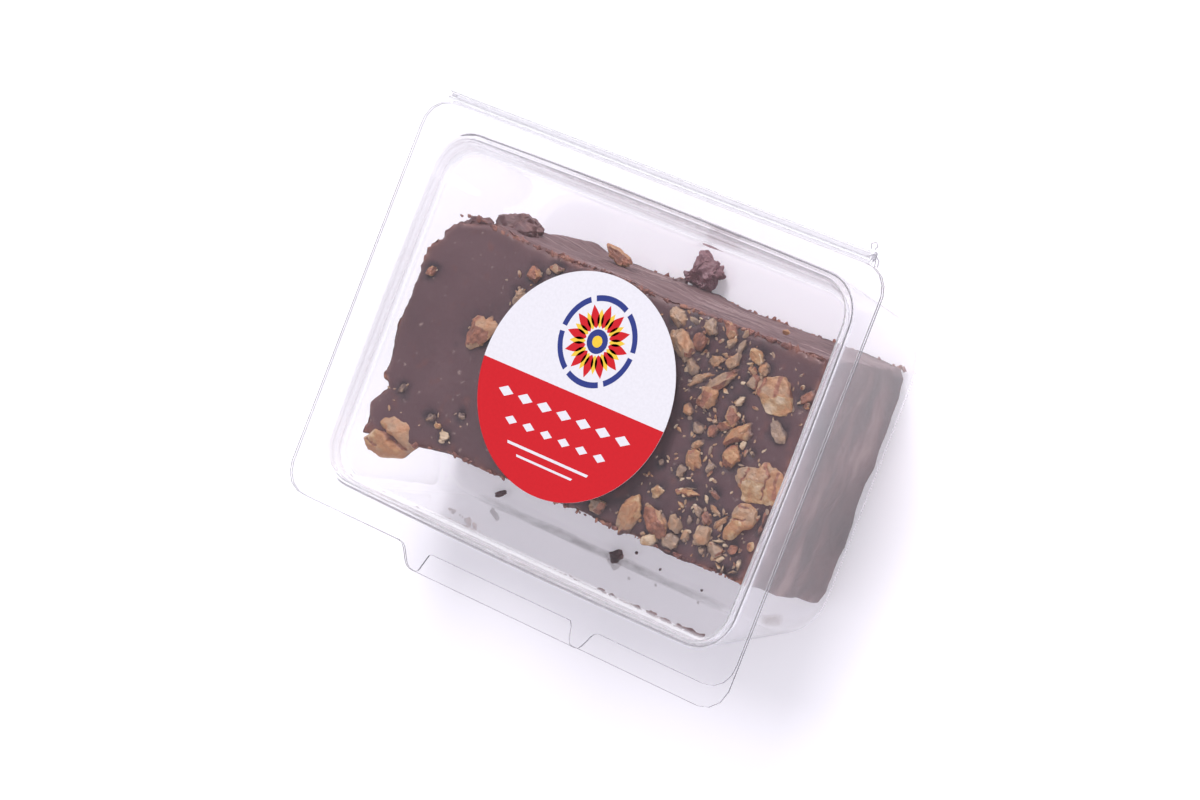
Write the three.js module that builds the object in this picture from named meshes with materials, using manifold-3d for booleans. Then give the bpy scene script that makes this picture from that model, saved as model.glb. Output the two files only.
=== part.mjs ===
// Slab of pecan fudge in a clear hinged pack: a thin moulded tub with a lid whose sunk panel carries a
// round label. The slab lies on the tub's floor, and one chip of it has broken off behind it.
// Millimetres, +Z up, X along the hinge, +Y towards the hinge, Z = 0 under the tub's floor.
import * as THREE from 'three';
import { mergeVertices } from 'three/addons/utils/BufferGeometryUtils.js';
import Module from 'manifold-3d';

const wasm = await Module();
wasm.setup();

// Pack, all from one clear sheet
const film = 0.5;
const packHeight = 42;
const rimGap = 0.4;
const rimLeft = -63.75;
const rimRight = 62.95;
const rimFront = -48.5;
const rimBack = 45;
const rimCorner = 6;
const tabReach = 4.8;
const tabStart = -28.7;
const tabSlope = 6;
const arcSteps = 4;

// Tub walls, outside sizes and centres
const tubRimTop = packHeight - film - rimGap;
const tubFloor = { x: 0.6, y: 0, length: 108.4, width: 73.9, corner: 12 };
const tubMouth = { x: 0.3, y: -1.1, length: 115.4, width: 83.6, corner: 9 };
const floorBend = 3;
const mouthBend = 0.6;

// Lid plug, outside sizes and centres
const panelTop = 37;
const plugFoot = { x: 0.3, y: -1.95, length: 112.8, width: 78.7, corner: 8.4 };
const plugMouth = { x: 0.2, y: -1.1, length: 113.2, width: 81.8, corner: 8.6 };
const panelBend = 1.8;

// Hinge roll along the back of the rim
const hingeLeft = -58.7;
const hingeRight = 57.7;
const hingeRadius = 1.4;
const hingeY = 46.8;
const hingeZ = packHeight - 0.75;
const hingeSlitDeg = 26;

// Label on the sunk panel, a little towards the front left
const labelRadius = 25.4;
const labelThickness = 0.3;
const labelCentre = [-2.8, -2.5];

// Fudge slab
const restGap = 0.3;
const slabBottom = film + restGap;
const slabTop = 34;
const slabGrid = [38, 19, 10];
const slabWallGap = 0.45;
const backFlare = 3.6;
const endLean = 2.6;
const seatGap = 0.35;

// The drawing's centre lies a little behind the middle of the whole pack, which has tabs at the front
const frontEnd = rimFront - tabReach;
const backEnd = hingeY + hingeRadius;
const packMiddle = [(rimLeft + rimRight) / 2, (frontEnd + backEnd) / 2];

const clearFilm = { color: 0xeceaf4, roughness: 0.08, metalness: 0 };
const fudgeBrown = { color: 0x5b4042, roughness: 0.5, metalness: 0 };
const nutTan = { color: 0xb58a58, roughness: 0.6, metalness: 0 };
const labelRed = { color: 0xd42a33, roughness: 0.35, metalness: 0 };

// Repeatable value noise between -1 and 1 on a lattice with smooth steps
function latticeValue(ix, iy, iz, seed) {
  let hash = Math.imul(ix, 374761393) ^ Math.imul(iy, 668265263) ^ Math.imul(iz, 1274126177);
  hash = Math.imul(hash ^ seed, 1103515245);
  hash = Math.imul(hash ^ (hash >>> 15), 2246822519);
  hash ^= hash >>> 13;
  return ((hash >>> 0) / 4294967295) * 2 - 1;
}

function valueNoise(x, y, z, seed) {
  const cell = [x, y, z].map(Math.floor);
  const [fx, fy, fz] = [x, y, z].map((value, axis) => THREE.MathUtils.smoothstep(value - cell[axis], 0, 1));
  let sum = 0;
  for (let corner = 0; corner < 8; corner += 1) {
    const [dx, dy, dz] = [corner & 1, (corner >> 1) & 1, corner >> 2];
    const weight = (dx ? fx : 1 - fx) * (dy ? fy : 1 - fy) * (dz ? fz : 1 - fz);
    sum += weight * latticeValue(cell[0] + dx, cell[1] + dy, cell[2] + dz, seed);
  }
  return sum;
}

// Closed geometry to solid and back
function toSolid(geometry) {
  const bare = geometry.clone();
  bare.deleteAttribute('normal');
  bare.deleteAttribute('uv');
  const merged = mergeVertices(bare, 1e-4);
  const vertProperties = new Float32Array(merged.attributes.position.array);
  const triVerts = new Uint32Array(merged.index.array);
  return new wasm.Manifold(new wasm.Mesh({ numProp: 3, vertProperties, triVerts }));
}

function toGeometry(solid) {
  const mesh = solid.getMesh();
  const geometry = new THREE.BufferGeometry();
  geometry.setAttribute('position', new THREE.BufferAttribute(new Float32Array(mesh.vertProperties), 3));
  geometry.setIndex(new THREE.BufferAttribute(new Uint32Array(mesh.triVerts), 1));
  geometry.computeVertexNormals();
  return geometry;
}

function largestPart(solid) {
  return solid.decompose().reduce((best, part) => (part.volume() > best.volume() ? part : best));
}

function namedMesh(name, geometry, look) {
  const mesh = new THREE.Mesh(geometry, new THREE.MeshStandardMaterial(look));
  mesh.name = name;
  return mesh;
}

// Rounded rectangle that shrinks, grows and changes corner from level to level
function roundedRectangle({ length, width, corner }) {
  const x = length / 2 - corner;
  const y = width / 2 - corner;
  const shape = new THREE.Shape();
  shape.absarc(x, y, corner, 0, Math.PI / 2);
  shape.absarc(-x, y, corner, Math.PI / 2, Math.PI);
  shape.absarc(-x, -y, corner, Math.PI, 1.5 * Math.PI);
  shape.absarc(x, -y, corner, 1.5 * Math.PI, 2 * Math.PI);
  return shape;
}

function mouldedBody(levels) {
  const base = levels[0];
  const steps = levels.length - 1;
  const geometry = new THREE.ExtrudeGeometry(roundedRectangle(base), {
    depth: steps, steps, bevelEnabled: false, curveSegments: arcSteps,
  });
  const position = geometry.attributes.position;
  for (let i = 0; i < position.count; i += 1) {
    const level = levels[Math.round(position.getZ(i))];
    const placed = [[position.getX(i), 'length'], [position.getY(i), 'width']].map(([value, side]) => {
      const turn = (Math.abs(value) - (base[side] / 2 - base.corner)) / base.corner;
      return Math.sign(value) * (level[side] / 2 - level.corner + turn * level.corner);
    });
    position.setXYZ(i, placed[0] + level.x, placed[1] + level.y, level.z);
  }
  return toSolid(geometry);
}

function sectionAt(foot, mouth, share, out) {
  const mix = (side) => THREE.MathUtils.lerp(foot[side], mouth[side], share);
  const [length, width, corner] = [mix('length') + 2 * out, mix('width') + 2 * out, mix('corner') + out];
  return { x: mix('x'), y: mix('y'), length, width, corner };
}

// Levels of a tray wall: a bend out of the floor, a straight wall and a bend out to the rim
function trayLevels({ foot, mouth, footZ, rimZ, lowBend, highBend, out, overshoot }) {
  const points = [];
  for (let i = 0; i <= arcSteps; i += 1) {
    const angle = (i / arcSteps) * (Math.PI / 2);
    points.push([footZ + lowBend * (1 - Math.cos(angle)), out - lowBend * (1 - Math.sin(angle))]);
  }
  for (let i = 0; i <= arcSteps; i += 1) {
    const angle = (i / arcSteps) * (Math.PI / 2);
    points.push([rimZ - highBend * (1 - Math.sin(angle)), out + highBend * (1 - Math.cos(angle))]);
  }
  points.push([rimZ + overshoot, out + highBend]);
  return points.map(([z, offset]) => {
    const share = THREE.MathUtils.clamp((z - footZ) / (rimZ - footZ), 0, 1);
    return { z, ...sectionAt(foot, mouth, share, offset) };
  });
}

// Thin tray: the outside less the inside, one film thinner all over
function trayShell({ foot, mouth, footZ, rimTop, lowBend, highBend }) {
  const outside = mouldedBody(trayLevels({
    foot, mouth, footZ, rimZ: rimTop - film, lowBend, highBend, out: 0, overshoot: film,
  }));
  const inside = mouldedBody(trayLevels({
    foot, mouth, footZ: footZ + film, rimZ: rimTop, lowBend: lowBend - film, highBend: highBend + film,
    out: -film, overshoot: 1,
  }));
  return { outside, inside };
}

// Rim outline with its tab at the front, stepping in again between each pair of cut-out places
function rimOutline(cutOuts, tabRunsOn) {
  const tabFront = rimFront - tabReach;
  const shape = new THREE.Shape();
  const stepTo = (fromX, toX, fromY, toY) => {
    const middle = (fromX + toX) / 2;
    shape.lineTo(fromX, fromY);
    shape.bezierCurveTo(middle, fromY, middle, toY, toX, toY);
  };
  shape.moveTo(rimLeft + rimCorner, rimFront);
  stepTo(tabStart, tabStart + tabSlope, rimFront, tabFront);
  cutOuts.forEach(([from, to], i) => {
    const inward = i % 2 === 0;
    stepTo(from, to, inward ? tabFront : rimFront, inward ? rimFront : tabFront);
  });
  const cornerY = (tabRunsOn ? tabFront : rimFront) + rimCorner;
  shape.absarc(rimRight - rimCorner, cornerY, rimCorner, -Math.PI / 2, 0);
  shape.absarc(rimRight - rimCorner, rimBack - rimCorner, rimCorner, 0, Math.PI / 2);
  shape.absarc(rimLeft + rimCorner, rimBack - rimCorner, rimCorner, Math.PI / 2, Math.PI);
  shape.absarc(rimLeft + rimCorner, rimFront + rimCorner, rimCorner, Math.PI, 1.5 * Math.PI);
  return shape;
}

function rimPlate(outline, top) {
  const plate = new THREE.ExtrudeGeometry(outline, { depth: film, bevelEnabled: false, curveSegments: arcSteps });
  plate.translate(0, 0, top - film);
  return toSolid(plate);
}

function tubMesh() {
  const tray = trayShell({
    foot: tubFloor, mouth: tubMouth, footZ: 0, rimTop: tubRimTop, lowBend: floorBend, highBend: mouthBend,
  });
  const thumbGap = [[-21.6, -19.4], [20.3, 22.5]];
  const plate = rimPlate(rimOutline(thumbGap, true), tubRimTop);
  return namedMesh('tub', toGeometry(tray.outside.add(plate).subtract(tray.inside)), clearFilm);
}

function lidMesh() {
  const tray = trayShell({
    foot: plugFoot, mouth: plugMouth, footZ: panelTop - film, rimTop: packHeight,
    lowBend: panelBend, highBend: mouthBend,
  });
  const tabEnd = [[24.4, 28.6]];
  const plate = rimPlate(rimOutline(tabEnd, false), packHeight);
  return namedMesh('lid', toGeometry(tray.outside.add(plate).subtract(tray.inside)), clearFilm);
}

// The fold of the sheet behind the rim, an open roll with its slit towards the rims
function hingeRollMesh() {
  const slit = THREE.MathUtils.degToRad(hingeSlitDeg);
  const roll = new THREE.Shape();
  roll.absarc(0, 0, hingeRadius, Math.PI + slit, 3 * Math.PI - slit, false);
  roll.absarc(0, 0, hingeRadius - film, Math.PI - slit, -Math.PI + slit, true);
  const geometry = new THREE.ExtrudeGeometry(roll, {
    depth: hingeRight - hingeLeft, bevelEnabled: false, curveSegments: 10,
  });
  const axes = new THREE.Matrix4().makeBasis(
    new THREE.Vector3(0, 1, 0), new THREE.Vector3(0, 0, 1), new THREE.Vector3(1, 0, 0),
  );
  geometry.applyMatrix4(axes);
  geometry.translate(hingeLeft, hingeY, hingeZ);
  return namedMesh('hinge_roll', geometry, clearFilm);
}

function labelMesh() {
  const disc = new THREE.Shape();
  disc.absarc(0, 0, labelRadius, 0, 2 * Math.PI);
  const geometry = new THREE.ExtrudeGeometry(disc, {
    depth: labelThickness, bevelEnabled: false, curveSegments: 32,
  });
  geometry.translate(labelCentre[0], labelCentre[1], panelTop + restGap);
  return namedMesh('label', geometry, labelRed);
}

// Edges of the slab's top face: the left end is torn, with a notch and a lump at its front corner
const leftEdge = [[-33, -50.5], [-30, -54], [-24, -54.3], [-19.5, -52.2], [-16, -54.2], [-8, -55.4],
  [4, -55.6], [12, -55.2], [17, -52.6], [22.5, -48.4]];
const frontEdge = [[-56, -30.4], [-48, -30.2], [-42, -29.4], [-36.5, -28], [-29, -27], [-10, -27.3], [53, -26.9]];
const backEdge = [[-56, 21], [-46, 23.4], [-36, 22.4], [-22, 22.4], [-8, 23], [6, 22.3], [26, 22.7], [53, 23.2]];
const rightEdge = [[-28, 51.6], [-24, 52.6], [20, 52.6], [24.5, 51.6], [27, 50]];
const rightEnd = 52.6;
const leftEnd = -55.6;
const frontFoot = -27.2;

function alongEdge(edge, at) {
  const last = edge.length - 1;
  const next = edge.findIndex(([place]) => place > at);
  if (next === 0) return edge[0][1];
  if (next < 0) return edge[last][1];
  const [[a, va], [b, vb]] = [edge[next - 1], edge[next]];
  return THREE.MathUtils.lerp(va, vb, THREE.MathUtils.smoothstep((at - a) / (b - a), 0, 1));
}

// Point moved in where it would come too close to the tub's wall
function keepInTub(point) {
  const share = THREE.MathUtils.clamp(point.z / tubRimTop, 0, 1);
  const bend = floorBend - film;
  const drop = Math.max(0, film + bend - point.z);
  const bendIn = bend - Math.sqrt(Math.max(0, bend * bend - drop * drop));
  const wall = sectionAt(tubFloor, tubMouth, share, -film - slabWallGap - bendIn);
  const coreX = wall.length / 2 - wall.corner;
  const coreY = wall.width / 2 - wall.corner;
  const fromX = point.x - THREE.MathUtils.clamp(point.x, wall.x - coreX, wall.x + coreX);
  const fromY = point.y - THREE.MathUtils.clamp(point.y, wall.y - coreY, wall.y + coreY);
  const distance = Math.hypot(fromX, fromY);
  if (distance > wall.corner) {
    point.x += fromX * (wall.corner / distance - 1);
    point.y += fromY * (wall.corner / distance - 1);
  }
  return point;
}

function slabPoint(u, v, w) {
  const nominalX = THREE.MathUtils.lerp(leftEnd, rightEnd, u);
  const torn = THREE.MathUtils.smoothstep(w, 0.35, 0.9);
  const front = THREE.MathUtils.lerp(frontFoot, alongEdge(frontEdge, nominalX), torn);
  const back = alongEdge(backEdge, nominalX);
  const left = alongEdge(leftEdge, THREE.MathUtils.lerp(front, back, v)) + endLean * (1 - w);
  const y = THREE.MathUtils.lerp(front, back + backFlare * (1 - w), v);
  const x = THREE.MathUtils.lerp(left, alongEdge(rightEdge, y), u);
  const point = new THREE.Vector3(x, y, THREE.MathUtils.lerp(slabBottom, slabTop, w));
  const atSide = [u, 1 - u, v, 1 - v].some((share) => share < 0.01);
  const edgeDrop = atSide && w > 0.99 ? 0.7 : 0;
  const edgeLift = atSide && w < 0.01 ? 0.6 : 0;
  const rough = atSide ? 0.75 : 0.3;
  const grain = [11, 23, 37].map((seed) => valueNoise(point.x / 4.5, point.y / 4.5, point.z / 4.5, seed));
  point.x += grain[0] * (atSide ? rough : 0);
  point.y += grain[1] * (atSide ? rough : 0);
  point.z += w > 0.99 ? grain[2] * 0.35 - edgeDrop : edgeLift;
  return keepInTub(point);
}

function slabSolid() {
  const geometry = new THREE.BoxGeometry(1, 1, 1, ...slabGrid);
  const position = geometry.attributes.position;
  for (let i = 0; i < position.count; i += 1) {
    const point = slabPoint(position.getX(i) + 0.5, position.getY(i) + 0.5, position.getZ(i) + 0.5);
    position.setXYZ(i, point.x, point.y, point.z);
  }
  return toSolid(geometry);
}

// Chip with flat, broken faces: [x, y, z, length, width, height, turn, sides level]
function chipSolid([x, y, z, length, width, height, turn], seed, level = 0, spread = 0.22, grow = 0) {
  const sides = new THREE.IcosahedronGeometry(1, level);
  const position = sides.attributes.position;
  const size = [length, width, height].map((side) => side / 2 + grow);
  for (let i = 0; i < position.count; i += 1) {
    const corner = [position.getX(i), position.getY(i), position.getZ(i)];
    const reach = 1 + spread * valueNoise(corner[0] * 2.3, corner[1] * 2.3, corner[2] * 2.3, seed);
    position.setXYZ(i, ...corner.map((value, axis) => value * reach * size[axis]));
  }
  sides.rotateZ(THREE.MathUtils.degToRad(turn));
  sides.translate(x, y, z);
  return toSolid(sides);
}

// Nut bits that show in the top, by place, length, width and turn; they stand out by about half their width
const smallNuts = [
  [-33.3, 0.1, 8.2, 6, 60], [-25.3, 16.5, 4.4, 3, -20], [-27.1, 10.5, 4.6, 2.4, 70], [-20.4, 19.4, 3.4, 2.2, 0],
  [-52, 8.4, 3.4, 2.2, 30], [-37.9, -21.7, 2.8, 1.8, 40], [-32.5, -24.2, 2.6, 2, 0], [-48, -18.5, 3, 1.8, 60],
  [-30.3, -18.5, 2.4, 1.8, 10], [14.4, 19.6, 4.4, 3.2, 80], [17.9, 20, 3.6, 2.6, 20], [22.8, 20, 4.8, 4, 60],
  [21.6, 16.4, 5.4, 4.4, 10], [16.4, 14.6, 6.6, 4.6, 75], [27.5, 20.6, 3.6, 2.4, 30], [31.2, 18.7, 4.4, 3, 80],
  [36, 18.4, 5.4, 3.8, 40], [26.4, 14, 5, 3.8, 15], [31, 15.3, 4.6, 3, 50], [21.4, 11, 4.4, 3.4, 70],
  [24.6, 8.8, 5.6, 2.8, 25], [31, 11.2, 6.6, 3, 20], [28, 6.4, 5.6, 3.8, 65], [38.2, 16.4, 3.6, 3, 0],
  [37, 12.6, 4, 3.2, 30], [47.4, 5.4, 5.4, 4, 80], [35.4, 8, 3.4, 2.8, 20], [35.8, 4.4, 5, 2.8, 70],
  [38.4, 1.4, 7.2, 4.2, 10], [31.8, 0.2, 4, 2.8, 80], [28.2, -0.4, 3.4, 2.6, 0], [29.6, -4, 3.2, 2.6, 30],
  [30.6, -7, 4.8, 4.2, 50], [39.2, -3.6, 5.6, 4.6, 20], [28.2, -10.4, 3.8, 2.8, 60], [32.6, -13.4, 3.4, 2.6, 0],
  [24.4, -16.4, 4.4, 2.8, 40], [38.6, -12.8, 4.4, 2.4, 15], [26.9, -22.2, 7, 6.4, 60], [31.8, -20.6, 4.6, 3.8, 80],
  [20, -23.6, 8.6, 4.8, 80], [11.8, -24.6, 4.8, 4.2, 20], [32.4, -24.4, 4.2, 3.4, 0], [35.3, -21.8, 3.6, 2.8, 30],
  [39.6, -20.6, 4.4, 4, 70], [43.4, -22.8, 4.6, 3.4, 10], [47.2, -21, 3.4, 2.6, 45], [45.4, -25, 3.2, 2.4, 0],
  [50.4, 14, 4, 2.6, 60], [49.8, -23.6, 3, 2.2, 30],
];

// Large nut pieces, each seated in its own pocket: place, sizes, turn
const largeNuts = [
  [44.2, 12.4, 33.9, 9.6, 7.8, 3.6, 80],
  [47.2, -6.6, 33.9, 10.4, 9.2, 4, 20],
  [46.3, -15, 33.9, 9, 5.6, 3.4, 50],
];
const pecanHalf = [-46.4, -29.8, 32, 14.4, 9, 6.6, 10];
const largeNutSpread = 0.2;

// Lumps of the slab itself: torn crumb on its back face and at its back left corner
const lumps = [
  [-39.5, 24.4, 24, 9, 6, 7.6, 10],
  [-46.5, 22, 31.5, 7, 3.6, 4.4, 20],
];
const nutInBackFace = [-20.5, 26.4, 14, 8, 3.4, 3, -25];
const brokenChip = [-4.9, 30.2, 3.85, 9.4, 6, 7.2, 20];

function fudgeMesh() {
  const solids = lumps.map((lump, i) => chipSolid(lump, 300 + i, 1));
  solids.push(chipSolid(nutInBackFace, 320, 1));
  smallNuts.forEach(([x, y, length, width, turn], i) => {
    const height = width * 0.7;
    solids.push(chipSolid([x, y, slabTop - 0.1, length, width, height, turn], 100 + i));
  });
  const whole = solids.reduce((sum, solid) => sum.add(solid), slabSolid());
  const seats = largeNuts.map((nut, i) => chipSolid(nut, 200 + i, 1, largeNutSpread, seatGap));
  seats.push(chipSolid(pecanHalf, 210, 2, largeNutSpread, seatGap));
  const seated = seats.reduce((sum, seat) => sum.subtract(seat), whole);
  return namedMesh('fudge', toGeometry(largestPart(seated)), fudgeBrown);
}

function nutMeshes() {
  const pieces = largeNuts.map((nut, i) => {
    const solid = chipSolid(nut, 200 + i, 1, largeNutSpread);
    return namedMesh(`pecan_piece_${i + 1}`, toGeometry(solid), nutTan);
  });
  const half = chipSolid(pecanHalf, 210, 2, largeNutSpread);
  return [...pieces, namedMesh('pecan_half', toGeometry(half), nutTan)];
}

function chipMesh() {
  return namedMesh('fudge_chip', toGeometry(chipSolid(brokenChip, 400, 1, 0.3)), fudgeBrown);
}

const pack = new THREE.Group();
pack.position.set(-packMiddle[0], -packMiddle[1], 0);
pack.add(tubMesh(), hingeRollMesh(), fudgeMesh(), ...nutMeshes(), chipMesh(), lidMesh(), labelMesh());

export default pack;
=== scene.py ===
import math
import random

import bmesh
import bpy
import numpy as np
from mathutils import Matrix, Vector


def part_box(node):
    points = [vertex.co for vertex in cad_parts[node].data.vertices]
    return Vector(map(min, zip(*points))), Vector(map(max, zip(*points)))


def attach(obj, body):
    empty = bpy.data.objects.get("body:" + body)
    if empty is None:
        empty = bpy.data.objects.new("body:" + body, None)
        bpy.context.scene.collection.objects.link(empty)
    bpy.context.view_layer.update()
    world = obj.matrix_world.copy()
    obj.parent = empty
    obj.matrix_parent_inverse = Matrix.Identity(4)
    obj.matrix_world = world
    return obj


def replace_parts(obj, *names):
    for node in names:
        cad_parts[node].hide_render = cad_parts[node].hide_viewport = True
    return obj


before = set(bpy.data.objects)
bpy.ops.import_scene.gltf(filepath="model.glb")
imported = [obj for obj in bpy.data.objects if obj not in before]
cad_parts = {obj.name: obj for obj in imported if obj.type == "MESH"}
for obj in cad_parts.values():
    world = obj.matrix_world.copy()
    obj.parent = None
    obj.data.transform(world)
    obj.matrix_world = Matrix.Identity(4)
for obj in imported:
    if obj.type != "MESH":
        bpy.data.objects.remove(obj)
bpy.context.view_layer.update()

# Tub
# One sheet of clear plastic, drawn hot over a block with a plain draft, so its floor has soft bends and
# its rim turns out flat all round. A tab along the front is cut back in the middle for a thumb.

film = 0.00045
arc_steps = 12
tub_low, tub_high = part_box("tub")
drawing_x, drawing_y = 0.0004, 0.00255
tub_rim_top = tub_high.z
rim_left, rim_right = tub_low.x, tub_high.x
rim_front = drawing_y - 0.0485
rim_back = drawing_y + 0.045
rim_corner = 0.006
tab_front = tub_low.y
tab_start, tab_slope = drawing_x - 0.0287, 0.006
tub_floor = {"x": 0.0006, "y": 0, "length": 0.1084, "width": 0.0739, "corner": 0.012}
tub_mouth = {"x": 0.0003, "y": -0.0011, "length": 0.1154, "width": 0.0836, "corner": 0.009}
floor_bend = 0.003
mouth_bend = 0.00035
side_bow = 0.0005
bead_out = 0.00018
bead_half_height = 0.0005
cut_width = 0.0001
edge_thinning = 0.00014
# Painted shade at the cut edge: how much of the dark grey layer shows where the edge lies open and where the
# other half's tab covers it.
open_edge_painted_shade, covered_edge_painted_shade = 0.55, 0.12


def new_object(name, vertices, faces, material, body, slot, smooth_deg=40):
    """A mesh with smooth shading up to an angle, riding a body, with its material; its slot is not used."""
    mesh = bpy.data.meshes.new(name)
    mesh.from_pydata([tuple(v) for v in vertices], [], [tuple(f) for f in faces])
    mesh.validate()
    mesh.update()
    mesh.shade_smooth()
    mesh.set_sharp_from_angle(angle=math.radians(smooth_deg))
    piece = bpy.data.objects.new(name, mesh)
    bpy.context.scene.collection.objects.link(piece)
    mesh.materials.append(material)
    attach(piece, body)
    return piece


def rounded_ring(length, width, corner):
    """Points and outward normals round a rectangle with round corners, always in the same number."""
    half_x, half_y = length / 2 - corner, width / 2 - corner
    sides = [((half_x, -half_y), (half_x, half_y), 0, 60),
             ((half_x, half_y), (-half_x, half_y), 90, 150),
             ((-half_x, half_y), (-half_x, -half_y), 180, 60),
             ((-half_x, -half_y), (half_x, -half_y), 270, 150)]
    points, normals = [], []
    for start, end, facing, count in sides:
        angle = math.radians(facing)
        for share in np.linspace(0, 1, count, endpoint=False):
            normal = (math.cos(angle), math.sin(angle))
            points.append([a + (b - a) * share + corner * n for a, b, n in zip(start, end, normal)])
            normals.append(normal)
        for step in range(arc_steps):
            angle = math.radians(facing + 90 * step / arc_steps)
            points.append([end[0] + corner * math.cos(angle), end[1] + corner * math.sin(angle)])
            normals.append((math.cos(angle), math.sin(angle)))
    return np.array(points), np.array(normals)


def step_curve(start, end):
    """The soft step in the rim's cut edge, level at both ends."""
    shares = np.linspace(0, 1, 9)
    middle = (start[0] + end[0]) / 2
    x = (1 - shares) ** 3 * start[0] + 3 * shares * (1 - shares) * middle + shares ** 3 * end[0]
    y = start[1] + (end[1] - start[1]) * (3 * shares ** 2 - 2 * shares ** 3)
    return list(zip(x, y))


def corner_arc(x, y, from_deg):
    angles = np.radians(from_deg + np.linspace(0, 90, arc_steps))
    return [(x + rim_corner * math.cos(a), y + rim_corner * math.sin(a)) for a in angles]


def rim_outline(cut_outs, tab_runs_on):
    """The cut edge of a rim: flat all round, with its tab at the front."""
    left, right = rim_left + rim_corner, rim_right - rim_corner
    outline = step_curve((tab_start, rim_front), (tab_start + tab_slope, tab_front))
    for index, (start, end) in enumerate(cut_outs):
        levels = (tab_front, rim_front) if index % 2 == 0 else (rim_front, tab_front)
        outline += step_curve((drawing_x + start, levels[0]), (drawing_x + end, levels[1]))
    front = tab_front if tab_runs_on else rim_front
    outline += corner_arc(right, front + rim_corner, -90)
    outline += corner_arc(right, rim_back - rim_corner, 0)
    outline += corner_arc(left, rim_back - rim_corner, 90)
    outline += corner_arc(left, rim_front + rim_corner, 180)
    return np.array(outline)


def reach_to(outline, points, normals):
    """How far it is from each point, along its normal, to the outline."""
    starts, ends = outline, np.roll(outline, -1, axis=0)
    along = ends - starts
    reach = np.full(len(points), np.inf)
    for index, (point, normal) in enumerate(zip(points, normals)):
        cross = normal[0] * along[:, 1] - normal[1] * along[:, 0]
        cross[np.abs(cross) < 1e-12] = 1e-12
        offset = starts - point
        distance = (offset[:, 0] * along[:, 1] - offset[:, 1] * along[:, 0]) / cross
        share = (offset[:, 0] * normal[1] - offset[:, 1] * normal[0]) / cross
        hits = distance[(share >= -1e-9) & (share <= 1 + 1e-9) & (distance > 0)]
        reach[index] = hits.min()
    return reach


def loft(rings):
    """Vertices and faces of a closed body through rings of equal number, closed to a point at both ends."""
    count = len(rings[0])
    vertices = [rings[0].mean(axis=0)]
    vertices += [point for ring in rings for point in ring]
    vertices.append(rings[-1].mean(axis=0))
    faces = []
    for k in range(count):
        after = (k + 1) % count
        faces.append((0, 1 + after, 1 + k))
        last = 1 + (len(rings) - 1) * count
        faces.append((len(vertices) - 1, last + k, last + after))
        for row in range(len(rings) - 1):
            low, high = 1 + row * count, 1 + (row + 1) * count
            faces.append((low + k, low + after, high + after, high + k))
    return vertices, faces


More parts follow.
